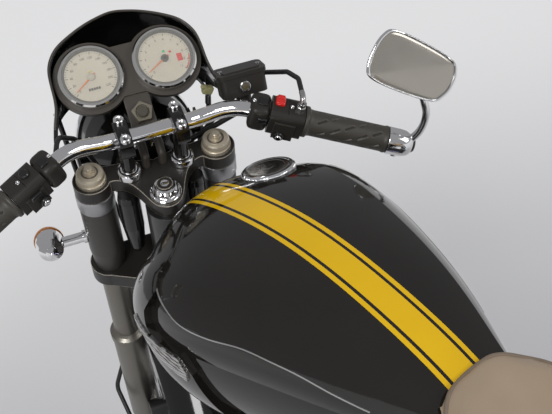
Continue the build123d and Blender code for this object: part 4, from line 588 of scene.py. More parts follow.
# Grips: moulded rubber with a flange at the inner end and slanted slits cut round the barrel, pushed
# on the left end of the bar and on the throttle's sleeve at the right.
grip_rubber = finish("grip_rubber", (0.052, 0.047, 0.038), 0.46, tone=0.2, spread=0.08, grain=0.25,
                     grain_size=1100)
grip_radius, grip_long = 17.7, 117
control_axes, grip_starts = {}, {}
for side in (1, -1):
    up = Vector((-0.10053, 0.22004 * side, 0.97030))
    rearward = Vector((-0.90957, -0.41554 * side, 0))
    outward = Vector((-0.40320, 0.88256 * side, -0.24192))
    control_axes[side] = Matrix((up, rearward, outward)).transposed().to_4x4()
    grip_starts[side] = moved(-8.794, 196.915 * side, 71.724) @ control_axes[side]


def slit_depth(far, along, angle):
    """How deep the slanted slits are at one place on a grip's barrel."""
    first, apart, rows, lanes = 24, 19, 5, 6
    slant, half_wide, half_long, deep, radius = 0.6, 1.7, 7, 2.2, 17.6
    row, lane_wide = round((along - first) / apart), 2 * pi / lanes
    if far != grip_radius or not 0 <= row < rows:
        return 0.0
    lane = (angle / lane_wide + 0.5 * (row % 2)) % 1.0 - 0.5
    sideways, ahead = lane * lane_wide * radius, along - first - apart * row
    cross = sideways * cos(slant) + ahead * sin(slant)
    run = ahead * cos(slant) - sideways * sin(slant)
    return deep * max(0.0, 1 - abs(cross) / half_wide) * (1.0 if abs(run) < half_long else 0.0)


grip_outline = [(11.4, 0), (20.4, 0), (21.2, 0.8), (21.2, 5.2), (20.4, 6), (18.6, 7), (17.9, 10)]
grip_outline += [(grip_radius, 10 + step) for step in range(1, 101)]
grip_outline += [(17.9, 112), (18.6, 113.5), (18.6, 116), (17.4, grip_long), (11.4, grip_long)]
for side, label in ((1, "left"), (-1, "right")):
    grip = bmesh.new()
    spin(grip, grip_outline, grip_starts[side], 132, slit_depth, closed=True)
    shown = fit(f"{label}_grip", grip, grip_rubber, "steering", "rubber", 50)
    if side > 0:
        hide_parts("grips")

# Hand controls: split housings of satin black plastic with their switches, the levers' perches beside
# them, the brake's fluid box with its screwed lid, and the cables in black rubber with metal ends.
control_black = finish("control_black", (0.027, 0.0245, 0.021), 0.38, tone=0.2, grain=0.3, soft_edge=0.0012,
                       edge_wear_and_highlight=(0.07, 0.066, 0.06))
switch_red = finish("switch_red", (0.66, 0.018, 0.014), 0.28, tone=0.1, coat=0.3, soft_edge=0.0006)
switch_grey = finish("switch_grey", (0.012, 0.012, 0.012), 0.22, soft_edge=0.0006,
                     edge_wear_and_highlight=(0.16, 0.15, 0.13))
cable_rubber = finish("cable_rubber", (0.018, 0.018, 0.018), 0.42, tone=0.2, grain=0.2, grain_size=1400)
tree = control_black.node_tree
feed(tree, tree.nodes["Principled BSDF"], {"Specular IOR Level": 0.3})
wear(control_black, "switchgear", "hand_levers", "brake_reservoir")
wear(cable_rubber, "control_cables")


def block(shape, size, place, round_by):
    """Adds a box with rounded edges."""
    part = bmesh.new()
    bmesh.ops.create_cube(part, size=1.0)
    part.transform(Matrix.Diagonal((*size, 1)))
    bmesh.ops.bevel(part, geom=part.edges[:], offset=round_by, segments=3, profile=0.5, affect="EDGES")
    part.transform(place)
    passing = bpy.data.meshes.new("passing")
    part.to_mesh(passing)
    part.free()
    shape.from_mesh(passing)
    bpy.data.meshes.remove(passing)


housings = {side: moved(10.157, 155.435 * side, 83.094) @ control_axes[side] for side in (1, -1)}
perch_covers, black_switches, control_screws, kill_switch, switch_button = [bmesh.new() for _ in range(5)]
right, left = housings[-1], housings[1]
for housing in (left, right):
    block(perch_covers, (41, 39.5, 27), housing @ moved(0, 0, -14.2), 8)
    for x, y, z in ((20.6, 1.8, -24), (22, 0.6, 27)):
        socket_bolt(control_screws, housing @ facing((x, y, z), (1, 0, 0)), 2.8, 1.6)
    spin(control_screws, [(4.4, 0), (4.4, 2), (3.4, 3), (0, 3.2)],
         housing @ facing((-11.7, 28, 17.3), (0, 1, 0)), 24)
    spin(switch_button, [(7.4, 0), (7.4, 4), (6.6, 5.4), (4.6, 5.6), (4.6, 4.8), (0, 4.8)],
         housing @ facing((-11.7, 22.8, 17.3), (0, 1, 0)), 32)
block(black_switches, (4, 13, 12), right @ moved(21.6, 1, -12) @ Matrix.Rotation(0.12, 4, "Z"), 1.6)
block(black_switches, (8, 5, 13), right @ moved(6, 20.5, -9), 1.8)
block(black_switches, (4.5, 15, 12), left @ moved(21.6, 2, -12), 1.8)
block(black_switches, (7, 6, 18), left @ moved(6, 23.2, 22), 2)
spin(black_switches, [(7, 0), (7, 3), (5.6, 4.6), (0, 5)], left @ facing((21.6, -2, 14), (1, 0, 0)), 32)
block(kill_switch, (8, 16.5, 13.5), right @ moved(23.2, -4.9, 10.5), 3.2)
block(kill_switch, (3, 6, 10), right @ moved(27.6, -8.4, 10.5), 1.2)
fit("perch_covers", perch_covers, control_black, "steering", "black_plastic")
fit("switch_keys", black_switches, switch_grey, "steering", "gloss_plastic")
fit("round_switches", switch_button, switch_grey, "steering", "gloss_plastic")
fit("control_screws", control_screws, chrome, "steering", "chrome")
fit("kill_switch", kill_switch, switch_red, "steering", "red_plastic")

fluid_box = moved(70, -137, 93) @ Matrix.Rotation(rake, 4, "Y")
glass_place = fluid_box @ facing((-18.4, 0, 0), (-1, 0, 0))
lid_screws = bmesh.new()
for along in (-27, 27):
    socket_bolt(lid_screws, fluid_box @ moved(0, along, 19.6), 3.4, 2.4)
spin(lid_screws, [(7.4, 0), (7.4, 3.2), (6.4, 3.9), (5.2, 3.9), (5.2, 3.0), (5.2, 0)], glass_place, 32)
fit("lid_screws", lid_screws, screw_steel, "steering", "steel")
turned("sight_glass", [(5.4, 0), (5.4, 3.2), (0, 3.8)], glass_place, 32,
       finish("sight_glass", (0.10, 0.085, 0.05), 0.08, coat=1.0), "steering", "gloss_plastic")


def eased(points, count=8):
    """A smooth line through points."""
    points = [Vector(point) for point in points]
    padded = [points[0] * 2 - points[1]] + points + [points[-1] * 2 - points[-2]]
    line = []
    for a, b, c, d in zip(padded, padded[1:], padded[2:], padded[3:]):
        for step in range(count):
            t = step / count
            line.append(0.5 * (2 * b + (c - a) * t + (2 * a - 5 * b + 4 * c - d) * t * t
                               + (3 * b - a - 3 * c + d) * t ** 3))
    return line + [points[-1]]


outlet = right @ Vector((22.3, 0, 38))
elbow_rise = control_axes[-1] @ Vector((1, 0, 0))
bend_at = outlet + elbow_rise * 17
toward = (Vector((30, -205, 113)) - bend_at).normalized()
bend = eased([bend_at - elbow_rise * 8, bend_at - elbow_rise * 2.4 + toward * 2.4, bend_at + toward * 8,
              bend_at + toward * 15], 5)
cable_elbow, wire_plug, wire_loom = [bmesh.new() for _ in range(3)]
tube(cable_elbow, [outlet, outlet + elbow_rise * 6] + bend, 4.1, 16)
spin(cable_elbow, [(4.2, 0), (6.6, 0, True), (6.6, 5, True), (5, 6), (5, 11), (4.2, 11.6)],
     facing(outlet - elbow_rise * 0.4, elbow_rise), 24)
fit("throttle_elbow", cable_elbow, plated_steel, "steering", "steel")
for size, place, round_by in (((9, 15, 12), (118, -101, 46), 1.6), ((6, 9, 5), (117, -96, 54), 1.0)):
    block(wire_plug, size, moved(*place) @ Matrix.Rotation(0.4, 4, "X"), round_by)
tube(wire_loom, eased([(118, -102, 41), (124, -103, 30), (136, -104, 18), (141, -104, -4)]), 2.6, 10)
tube(wire_loom, eased([(118, -98, 52), (128, -92, 60), (138, -84, 62), (146, -74, 66)]), 2.2, 10)
fit("wire_plug", wire_plug, finish("plug_nylon", (0.42, 0.40, 0.20), 0.4, grain=0.1), "steering",
    "gloss_plastic")
fit("wire_loom", wire_loom, cable_rubber, "steering", "rubber")

# Mirrors: die-cast chromed shells, domed at the back, on bent chromed stalks. The pane is a slightly
# domed grey mirror glass let into the shell. A chromed clamp holds each stalk on the end of the bar,
# and a black plug closes it.
mirror_glass = finish("mirror_glass", (0.40, 0.375, 0.335), 0.16, metal=0.55, tone=0.07, tone_size=26,
                      spread=0.05)
shell_corners = [Vector(corner) for corner in ((1.8, -313.9, 196.7), (-48.0, -405.7, 139.3),
                                               (-75.5, -366.2, 104.8), (-32.5, -268.0, 153.7))]
pane_middle = Vector((-38.5, -338.5, 148.6))
pane_axes = Matrix(((0, -1, 0), (0.6, 0, 0.8), (-0.8, 0, 0.6))).transposed().to_4x4()
flat = [(pane_axes.transposed() @ (corner - pane_middle)).to_2d() for corner in shell_corners]


def outline_at(inset):
    """The mirror's outline moved inward: round corners, and sides that bulge a little."""
    rounding, bulge, half_size, smoothing = 13, 3.2, 46, 6
    controls = []
    for index, corner in enumerate(flat):
        following = flat[(index + 1) % len(flat)]
        for end, other_end in ((flat[index - 1], corner), (following, corner)):
            controls.append(other_end + (end - other_end).normalized() * rounding)
        middle = (corner + following) / 2
        controls.append(middle + middle.normalized() * bulge)
    loop = controls[-2:] + controls + controls[:3]
    line = eased([(*point, 0) for point in loop], smoothing)[2 * smoothing:(2 + len(controls)) * smoothing]
    return [point.to_2d() * (1 - inset / half_size) for point in line]


def stacked(shape, levels, low_middle, high_middle):
    """Adds a form of mirror outlines, each (inset, height), closed to a point at both ends."""
    rings = [[shape.verts.new((*point, high)) for point in outline_at(inset)] for inset, high in levels]
    low_end, high_end = [[shape.verts.new((0, 0, level))] for level in (low_middle, high_middle)]
    knit(shape, [low_end] + rings + [high_end])


shell_levels = ((19, -12.9), (12, -12.3), (6, -10.3), (2.2, -7.0), (0.4, -3.6), (0, -1.2), (0.3, 0.0),
                (1.2, 0.8), (2.4, 0.9), (3.2, 0.3), (3.3, -1.5))
pane_levels = ((3.6, -1.3), (3.6, -0.5), (4.4, 0.0), (8, 0.35), (14, 0.8), (22, 1.2))
stalk_bends = ((-72, -341, 62), (-70, -348, 88), (-63, -347, 106), (-52, -345, 118))
for side, label in ((-1, "right"), (1, "left")):
    other = Matrix.Diagonal((1, -side, 1, 1))
    shell, pane, holder = [bmesh.new() for _ in range(3)]
    stacked(shell, shell_levels, -13.1, -1.7)
    stacked(pane, pane_levels, -1.3, 1.5)
    for shape in (shell, pane):
        shape.transform(other @ Matrix.Translation(pane_middle) @ pane_axes)
    end = grip_starts[side] @ Vector((0, 0, grip_long))
    along = (control_axes[side] @ Vector((0, 0, 1))).normalized()
    foot = end + along * 28
    tube(holder, eased([foot] + [other @ Vector(bend) for bend in stalk_bends]), 5.4, 20)
    clamp_start = grip_starts[side] @ moved(0, 0, grip_long)
    spin(holder, [(11.3, 0.4), (18.2, 0.4), (19, 1.2), (19, 17), (18.4, 24), (16.6, 30), (13.2, 34.6),
                  (10.4, 36), (10.4, 33.5), (0, 33.5)], clamp_start, 56)
    clamp_screw = moved(*(end + along * 15)) @ control_axes[side] @ facing((-12.4, 9.3, 0), (-0.8, 0.6, 0))
    socket_bolt(holder, clamp_screw, 4, 5)
    shown = fit(f"{label}_mirror_shell", shell, chrome, "steering", "chrome", 40)
    fit(f"{label}_mirror_pane", pane, mirror_glass, "steering", "mirror_glass", 50)
    fit(f"{label}_mirror_stalk", holder, chrome, "steering", "chrome", 40)
    turned(f"{label}_bar_plug", [(0, 33.7), (10.2, 33.7), (10.2, 37.4), (8.6, 39.4), (5, 40.4), (0, 40.6)],
           clamp_start, 32, switch_grey, "steering", "black_plastic")
    if side > 0:
        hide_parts("mirrors")

# Instruments: deep cups with chromed bezels over cream dials, printed in brown-black, with orange
# needles on round hubs, small tell-tale lamps and a thin glass. They sit in a satin plate that also
# holds the ignition lock, a tan casting round a dark barrel.
bezel_chrome = finish("bezel_chrome", (0.8, 0.79, 0.76), 0.08, metal=1.0, tone=0.06, tone_size=40,
                      spread=0.04)
dial_cream = finish("dial_cream", (0.62, 0.565, 0.445), 0.45, tone=0.05, tone_size=60)
dial_print = finish("dial_print", (0.09, 0.075, 0.055), 0.5)
needle_orange = finish("needle_orange", (0.85, 0.20, 0.035), 0.35, tone=0.08)
hub_brown = finish("hub_brown", (0.11, 0.10, 0.08), 0.3, metal=0.4, tone=0.1)
hub_pale = finish("hub_pale", (0.52, 0.48, 0.38), 0.3, tone=0.1)
lamp_green = finish("lamp_green", (0.03, 0.55, 0.2), 0.2, tone=0.08)
lamp_red = finish("lamp_red", (0.72, 0.03, 0.02), 0.2, tone=0.08)
lamp_yellow = finish("lamp_yellow", (0.80, 0.62, 0.04), 0.2, tone=0.08)
wear(bezel_chrome, "gauges")
panel_brown = finish("panel_brown", (0.062, 0.053, 0.044), 0.42, tone=0.18, grain=0.15, soft_edge=0.0015,
                     edge_wear_and_highlight=(0.16, 0.14, 0.11))
# A dark grey for the ring inside each bezel: painted shade, standing for the deep bezel's shadow on the
# dial's edge.
painted_shadow_grey = finish("painted_shadow_grey", (0.07, 0.063, 0.05), 0.34, tone=0.1)
wear(panel_brown, "gauge_panel")
lock_tan = finish("lock_tan", (0.20, 0.18, 0.135), 0.42, metal=0.3, tone=0.15, tone_size=50,
                  soft_edge=0.001, edge_wear_and_highlight=(0.42, 0.39, 0.32))
wear(lock_tan, "ignition_switch")
clear_pane, tree, shader = blank("gauge_glass")
smear = node(tree, "TexNoise", {"Scale": 30})["Fac"]
smeared = node(tree, "Bump", {"Strength": 0.02, "Height": smear})["Normal"]
feed(tree, shader, {"Base Color": (0.9, 0.9, 0.86, 1), "Roughness": 0.03, "Alpha": 0.1, "Normal": smeared})
lean_back = radians(28)
face_axes = Matrix(((0, -1, 0), (cos(lean_back), 0, sin(lean_back)),
                    (-sin(lean_back), 0, cos(lean_back)))).transposed().to_4x4()
faces = {side: moved(154, 52.5 * side, 93) @ face_axes for side in (1, -1)}


def printed(shape, corners, place, low=0.5, high=0.7):
    """Adds a thin raised print with straight edges."""
    rings = [[shape.verts.new(place @ Vector((x, y, level))) for x, y in corners] for level in (low, high)]
    knit(shape, rings, ends=True)


def strip(start, end, aside, start_half, end_half):
    """The corners of a straight mark, with its half width at both ends."""
    return [start - aside * start_half, end - aside * end_half, end + aside * end_half,
            start + aside * start_half]


def as_mesh(piece):
    """A piece's form, with what its modifiers make of it, as a new mesh."""
    return bpy.data.meshes.new_from_object(piece.evaluated_get(bpy.context.evaluated_depsgraph_get()))


def number(shape, text, place, x, y, tall):
    """Adds one number of a dial."""
    print_half, print_level = 0.08, 0.62
    words = bpy.data.curves.new("number", "FONT")
    words.body = text
    words.size = tall
    words.align_x = "CENTER"
    words.align_y = "CENTER"
    words.extrude = print_half
    carrier = bpy.data.objects.new("number", words)
    bpy.context.collection.objects.link(carrier)
    bpy.context.view_layer.update()
    cut = as_mesh(carrier)
    cut.transform(place @ moved(x, y, print_level))
    shape.from_mesh(cut)
    bpy.data.objects.remove(carrier)
    bpy.data.curves.remove(words)
    bpy.data.meshes.remove(cut)


scale_from, scale_sweep, scale_edge, number_ring, number_tall = 222, 264, 35.4, 26.6, 4.8
long_mark, short_mark = (31.4, 0.45), (33.0, 0.22)
digit_count, digit_from, digit_pitch, digit_wide, digit_low, digit_top = 5, -8, 3.4, 2.8, -20.5, -17
hub_drop, needle_tail, needle_half, tip_half, needle_low, needle_top = -1.5, 7, 1.3, 0.35, 1.7, 2.3
dials = (
    # name, side, first number, step, last number, small marks between two numbers, needle, hub
    ("speedometer", 1, 0, 20, 220, 3, (-24.5, -18.5), hub_pale),
    ("tachometer", -1, 0, 1, 11, 4, (-26.5, -16.5), hub_brown),
)
for name, side, first, step, last, between, tip, hub_finish in dials:
    face = faces[side]
    # The dark ring round the dial's edge is painted shade: the shadow that the deep bezel casts.
    turned(f"{name}_painted_shadow_ring", [(39.4, 0.6), (39.8, 2.9), (38.9, 2.9), (36.2, 1.0), (36.0, 0.62),
                                  (39.4, 0.6)], face, 96, painted_shadow_grey, "steering", "black_plastic")
    turned(f"{name}_dial", [(0, 0.04), (38.8, 0.04), (38.8, 0.4), (38.2, 0.5), (22.2, 0.5), (21.8, 0.34),
                            (0, 0.34)], face, 96, dial_cream, "steering", "dial_cream")
    marks, needle = bmesh.new(), bmesh.new()
    count = round((last - first) / step) * (between + 1)
    for index in range(count + 1):
        angle = radians(scale_from - scale_sweep * index / count)
        major = index % (between + 1) == 0
        inner, half = long_mark if major else short_mark
        way, side_way = Vector((cos(angle), sin(angle))), Vector((-sin(angle), cos(angle)))
        printed(marks, strip(way * inner, way * scale_edge, side_way, half, half), face)
        if major:
            text = str(first + step * index // (between + 1))
            number(marks, text, face, way.x * number_ring, way.y * number_ring, number_tall)
    if name == "speedometer":
        for column in range(digit_count):
            near = digit_from + digit_pitch * column
            off = near + digit_wide
            printed(marks, [(near, digit_low), (off, digit_low), (off, digit_top), (near, digit_top)], face)
    fit(f"{name}_print", marks, dial_print, "steering", "dial_cream")
    middle, tip = Vector((0, hub_drop)), Vector(tip)
    way = (tip - middle).normalized()
    side_way = Vector((-way.y, way.x))
    pointer = strip(middle - way * needle_tail, tip, side_way, needle_half, tip_half)
    printed(needle, pointer, face, needle_low, needle_top)
    fit(f"{name}_needle", needle, needle_orange, "steering", "needle_orange")
    turned(f"{name}_hub", [(5.4, 0.4), (5.4, 2.4), (4.6, 3.0), (0, 3.2)], face @ moved(0, hub_drop, 0), 32,
           hub_finish, "steering", "black_plastic")
    turned(f"{name}_glass", [(0, 3.1), (39.9, 3.1), (39.9, 3.5), (28, 3.9), (14, 4.1), (0, 4.2)], face, 72,
           clear_pane, "steering", "lamp_glass")
tell_tales = (
    # name, dial's side, place on the dial, size, finish
    ("neutral_lamp", -1, (1.0, 8.6), (3.6, 3.0), lamp_green),
    ("oil_lamp", -1, (9.6, 6.0), (3.4, 2.8), lamp_red),
    ("warning_lamp", -1, (20.6, -4.8), (7.2, 11.0), lamp_red),
    ("signal_lamp", 1, (0, 6.2), (5.2, 1.5), lamp_yellow),
)
for name, side, (x, y), (wide, high), lamp_finish in tell_tales:
    lens = bmesh.new()
    block(lens, (wide, high, 1.6), faces[side] @ moved(x, y, 0.9), 0.6)
    fit(name, lens, lamp_finish, "steering", "amber_lens" if side > 0 else "red_plastic")
red_from, red_long, red_steps, red_share, red_inner, last_number = 9.5, 1.5, 9, 0.7, 33.6, 11
red_zone = bmesh.new()
for index in range(red_steps):
    start, end = [radians(scale_from - scale_sweep * (red_from + red_long * part / red_steps) / last_number)
                  for part in (index, index + red_share)]
    corners = ((scale_edge, start), (scale_edge, end), (red_inner, end), (red_inner, start))
    printed(red_zone, [around(*corner).to_2d() for corner in corners], faces[-1], high=0.64)
fit("red_zone", red_zone, lamp_red, "steering", "red_plastic")
panel = moved(154, 0, 93) @ face_axes
barrel = bmesh.new()
spin(barrel, [(7.7, 8), (7.7, 9.9), (6.6, 10.7), (0, 10.7)], panel @ moved(1.5, -66, -13.2), 32)
block(barrel, (1.8, 8, 1.2), panel @ moved(1.5, -66, -2.6) @ Matrix.Rotation(0.35, 4, "Z"), 0.3)
fit("lock_barrel", barrel, hub_brown, "steering", "steel")

# Cowl and headlamp: a thin moulded cowl in gloss black with a rubber bead on its edge, and a black lamp
# shell with a chromed rim, a polished reflector, a bulb and a fluted glass.
wear(gloss_black, "fly_screen", "headlamp")
edge_bead_rubber = finish("edge_bead_rubber", (0.055, 0.048, 0.04), 0.3, tone=0.2, grain=0.1)
lamp = moved(196, 0, -92) @ Matrix.Rotation(rake, 4, "Y")
low, high = Vector((-166, 0, 82)), Vector((-73, 0, 215))
screen_rise, screen_tall = (high - low).normalized(), (high - low).length
half_line = ((0, 1.0), (25, 0.975), (48, 0.93), (71, 0.865), (88, 0.80), (99, 0.725), (106, 0.64),
             (109, 0.53), (110, 0.38), (113, 0.26), (118, 0.17), (121.4, 0.105))
bead_in, bead_down = 0.985, 0.99
right_line = [(side * bead_in, height * bead_down) for side, height in half_line]
rim_line = [(-side, height) for side, height in reversed(right_line[1:])] + right_line
edge_bead = bmesh.new()
bead_line = [lamp @ (low + screen_rise * (height * screen_tall) + Vector((0, -side, 0)))
             for side, height in rim_line]
tube(edge_bead, eased(bead_line, 6), 1.7)
fit("cowl_edge_bead", edge_bead, edge_bead_rubber, "steering", "rubber")
lamp_axis = lamp @ facing((0, 0, 0), (1, 0, 0))
bulb_glass = finish("bulb_glass", (0.75, 0.72, 0.62), 0.15, coat=1.0)
turned("headlamp_rim", [(90.5, -9), (92.4, -8), (93, 0), (92.8, 7), (91.2, 10.2), (88, 11.4), (84.4, 10.6),
                        (84.2, 7.4)], lamp_axis, 96, chrome, "steering", "chrome")
turned("headlamp_reflector", [(83.4, -1.6), (77.2, -14.6), (65.2, -49), (39.4, -84), (16, -90.5), (14, -86),
                              (0, -86)], lamp_axis, 72, chrome, "steering", "chrome")
turned("headlamp_bulb", [(7, -86), (7, -60), (9, -52), (8.5, -40), (4.5, -33), (0, -31)], lamp_axis, 32,
       bulb_glass, "steering", "lamp_glass")
lamp_glass, tree, shader = blank("lamp_glass")
where = node(tree, "TexCoord")["Object"]
straight = node(tree, "VectorRotate", {"Angle": -steer_angle, "Vector": where},
                rotation_type="Z_AXIS")["Vector"]
flutes = node(tree, "TexWave", {"Scale": 38, "Vector": straight}, bands_direction="Y")["Fac"]
fluted = node(tree, "Bump", {"Strength": 0.7, "Distance": 0.002, "Height": flutes})["Normal"]
feed(tree, shader, {"Base Color": (0.86, 0.88, 0.9, 1), "Roughness": 0.06, "Alpha": 0.32, "Normal": fluted})
wear(lamp_glass, "headlamp_lens")

# Indicators and tail lamp: chromed bullets with moulded amber lenses; a red lens in a chromed ring at
# the tail, over a black painted bracket for the number plate.
amber_lens = finish("amber_lens", (0.80, 0.26, 0.015), 0.14, coat=1.0, tone=0.1, tone_size=40)
red_lens = finish("red_lens", (0.42, 0.012, 0.01), 0.12, coat=1.0, tone=0.15, tone_size=40)
wear(chrome, "front_indicators", "rear_indicators")
wear(frame_enamel, "tail_lamp")
lens_line = [(0, 16), (21.4, 16), (22.4, 17.4), (22.4, 21.4), (21.4, 23.0), (18.2, 25.6), (15.6, 27.3),
             (9, 30), (0, 31.6)]
front_lenses, rear_lenses = bmesh.new(), bmesh.new()
for side in (1, -1):
    spin(front_lenses, lens_line, moved(62, 171 * side, -128) @ Matrix.Rotation(rake, 4, "Y")
         @ facing((0, 0, 0), (1, 0, 0)))
    spin(rear_lenses, lens_line, facing((-60, 150 * side, 787.8), (-1, 0, 0)))
fit("front_amber_lenses", front_lenses, amber_lens, "steering", "amber_lens")
fit("rear_amber_lenses", rear_lenses, amber_lens, "frame", "amber_lens")
lamp_back = facing((-206, 0, 796), (-1, 0, 0))
turned("tail_lens", [(0, 27), (36.6, 27), (37.4, 31), (36.2, 35), (33, 38.6), (26, 41.4), (14, 43),
                     (0, 43.4)], lamp_back, 56, red_lens, "frame", "red_lens")
turned("tail_lamp_ring", [(34.4, -0.4), (35, 1), (38.9, 26), (39.2, 29), (38.6, 31.4), (37.2, 31.6),
                          (36.8, 28)], lamp_back, 56, chrome, "frame", "chrome")

# Tank, hump and side covers: pressed steel and moulded covers in deep gloss black under lacquer. One
# broad yellow stripe with a fine yellow line each side runs along the middle of tank and hump, and a
# ribbed chrome flash is fixed low on each flank.
side_paint = finish("side_paint", (0.0095, 0.0088, 0.0078), 0.07, coat=0.15, tone=0.3, spread=0.02)
striped_paint = finish("striped_paint", (0.0115, 0.0102, 0.0085), 0.07, coat=0.15, tone=0.3, spread=0.02)
stripe_edge, line_start, line_edge, stripe_reach = 0.0147, 0.0185, 0.024, 0.03
painted, bare = (1, 1, 1), (0, 0, 0)
tree = striped_paint.node_tree
where = node(tree, "TexCoord")["Object"]
aside = node(tree, "SeparateXYZ", {"Vector": where})["Y"]
from_middle = node(tree, "Math", {0: aside, 1: rear_axle.y}, operation="SUBTRACT")["Value"]
either_side = node(tree, "Math", {0: from_middle}, operation="ABSOLUTE")["Value"]
out_share = node(tree, "Math", {0: either_side, 1: stripe_reach}, operation="DIVIDE")["Value"]
stops = ((0, painted), (stripe_edge / stripe_reach, bare), (line_start / stripe_reach, painted),
         (line_edge / stripe_reach, bare))
stripes = ramp(tree, out_share, stops, "CONSTANT")
flake = node(tree, "TexNoise", {"Scale": 16, "Vector": where})["Fac"]
yellow = node(tree, "Mix", {"A": (0.72, 0.435, 0.002, 1), "B": (0.82, 0.505, 0.004, 1), "Factor": flake},
              data_type="RGBA")["Result"]
overlay(tree, yellow, stripes, "MIX")
wear(striped_paint, "fuel_tank", "tail_cowl")
wear(side_paint, "side_panels")
flash_chrome = finish("flash_chrome", (0.62, 0.61, 0.59), 0.08, metal=1.0, tone=0.1, tone_size=60,
                      spread=0.04)
tree = flash_chrome.node_tree
where = node(tree, "TexCoord")["Object"]
ribs = node(tree, "TexWave", {"Scale": 62, "Vector": where}, bands_direction="Z")["Fac"]
ribbed = node(tree, "Bump", {"Strength": 1.0, "Distance": 0.0016, "Height": ribs})["Normal"]
feed(tree, tree.nodes["Principled BSDF"], {"Normal": ribbed})
wear(chrome, "fuel_cap")
wear(flash_chrome, "tank_flashes")

# Tank trim: a thin silver strip on the upper edge of each knee recess, a painted highlight where the crease
# catches the light, and the filler's knurled chrome rim round a darker, brushed top.
rail_height = 764


def skin_of(mesh):
    """The faces of a mesh, as rays meet them."""
    return BVHTree.FromPolygons([vertex.co.copy() for vertex in mesh.vertices],
                                [tuple(face.vertices) for face in mesh.polygons])


def met(skin, x, y, z, way):
    """The point of a skin that a ray from a spot meets, in millimetres."""
    hit = skin.ray_cast(bike @ Vector((x / 1000, y / 1000, z / 1000)), Vector(way))[0]
    return (bike.inverted() @ hit) * 1000 if hit else None


tank_skin = skin_of(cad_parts["fuel_tank"].data)
# The silver strip laid along each knee crease is a painted highlight: it stands for the light that the crease
# catches.
painted_crease_highlight = eased([(624, 101), (657, 118), (693, 136), (727, 148), (764, 158), (811, 162), (850, 169),
                   (878, 181), (904, 193)], 10)
crease_highlight_silver = finish("crease_highlight_silver", (0.42, 0.42, 0.41), 0.25, metal=0.8, coat=0.4, tone=0.1)
beside_tank, line_lifts, line_skins = 400, (1.2, 2.0, 2.8), (-0.3, 0.45)
for side, label in ((1, "left"), (-1, "right")):
    highlight_strip, rings = bmesh.new(), []
    for index, point in enumerate(painted_crease_highlight):
        gone, coming = painted_crease_highlight[max(index - 1, 0)], painted_crease_highlight[min(index + 1, len(painted_crease_highlight) - 1)]
        normal = Vector(((gone - coming).y, (coming - gone).x)).normalized()
        row = []
        for lift in line_lifts:
            spot = point + normal * lift
            hit = met(tank_skin, spot.x, side * beside_tank, rail_height + spot.y, (0, -side, 0))
            row.append([hit + Vector((0, side * proud, 0.3 * proud)) for proud in line_skins])
        section = (row[0][0], row[0][1], row[1][1], row[2][1], row[2][0], row[1][0])
        rings.append([highlight_strip.verts.new(corner) for corner in section])
    knit(highlight_strip, rings, ends=True)
    fit(f"{label}_painted_crease_highlight", highlight_strip, crease_highlight_silver, "frame", "chrome")
cap_roll, cap_pitch = radians(9), radians(3)
cap = (moved(935.5, -70.6, rail_height + 216) @ Matrix.Rotation(cap_roll, 4, "X")
       @ Matrix.Rotation(cap_pitch, 4, "Y"))
knurl_steps, tooth_proud = 264, 0.8


def tooth(far, high, angle):
    """A tooth of the knurl stands proud on two of every four steps."""
    return -tooth_proud if round(angle * knurl_steps / (2 * pi)) % 4 in (1, 2) else 0


knurl = bmesh.new()
spin(knurl, [(33.9, 0.2), (34.6, 1), (34.6, 6.2), (33.9, 7.2)], cap, knurl_steps, tooth)
fit("cap_knurl", knurl, chrome, "frame", "chrome")
cap_steel = finish("cap_steel", (0.30, 0.285, 0.26), 0.22, metal=1.0, tone=0.2, tone_size=70, spread=0.1)
turned("cap_inlay", [(0, 8.4), (27.5, 8.4), (27.5, 9.0), (26.8, 9.5), (22, 9.7), (21.4, 9.2), (8, 9.3),
                     (7.6, 9.8), (0, 9.9)], cap, 72, cap_steel, "frame", "steel")

# Seat: one foam pad under a taupe hide, piped along its upper edge and stitched beside the piping, with
# a cross seam ahead of the hump. The foam swells a little between the piping and the base.
hide_tan = finish("hide_tan", (0.36, 0.275, 0.195), 0.5, tone=0.14, tone_size=14, spread=0.07, grain=0.55,
                  grain_size=420)
piping_tan = finish("piping_tan", (0.19, 0.145, 0.105), 0.46, grain=0.3)
thread_pale = finish("thread_pale", (0.33, 0.29, 0.23), 0.7, tone=0.1, grain=0.4)
pad = bpy.data.objects.new("seat_pad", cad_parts["seat"].data.copy())
bpy.context.collection.objects.link(pad)


def settle(piece, kind, **values):
    """Adds one modifier to a piece, with its values, and makes its result the mesh."""
    step = piece.modifiers.new(kind.lower(), kind)
    for field, value in values.items():
        setattr(step, field, value)
    bpy.context.view_layer.update()
    result = as_mesh(piece)
    piece.modifiers.clear()
    piece.data = result


def within(value, start, span):
    """How far a value is through a span, from 0 to 1."""
    return max(0.0, min(1.0, (value - start) / span))


voxel, shrunk_by, sinks, swells_top, swells_side, upward = 0.006, 0.0025, 0.003, 0.004, 0.002, 0.6
moments, base_tall = 20, 18
settle(pad, "REMESH", mode="VOXEL", voxel_size=voxel)
settle(pad, "SMOOTH", factor=0.5, iterations=3)
pad_start = [vertex.co.copy() for vertex in pad.data.vertices]
pad_normals = [vertex.normal.copy() for vertex in pad.data.vertices]
base_height = (bike @ Vector((0, 0, (rail_height + base_tall) / 1000))).z
for vertex, normal in zip(pad.data.vertices, pad_normals):
    vertex.co -= normal * shrunk_by
held = pad.vertex_groups.new(name="base")
held.add([vertex.index for vertex in pad.data.vertices if vertex.co.z < base_height], 1.0, "REPLACE")
cloth = pad.modifiers.new("cloth", "CLOTH")
settings = cloth.settings
settings.quality = 4
settings.mass = 0.3
settings.tension_stiffness = 18
settings.compression_stiffness = 18
settings.bending_stiffness = 2.0
settings.use_pressure = True
settings.uniform_pressure_force = 4.0
settings.vertex_group_mass = "base"
settings.effector_weights.gravity = 0
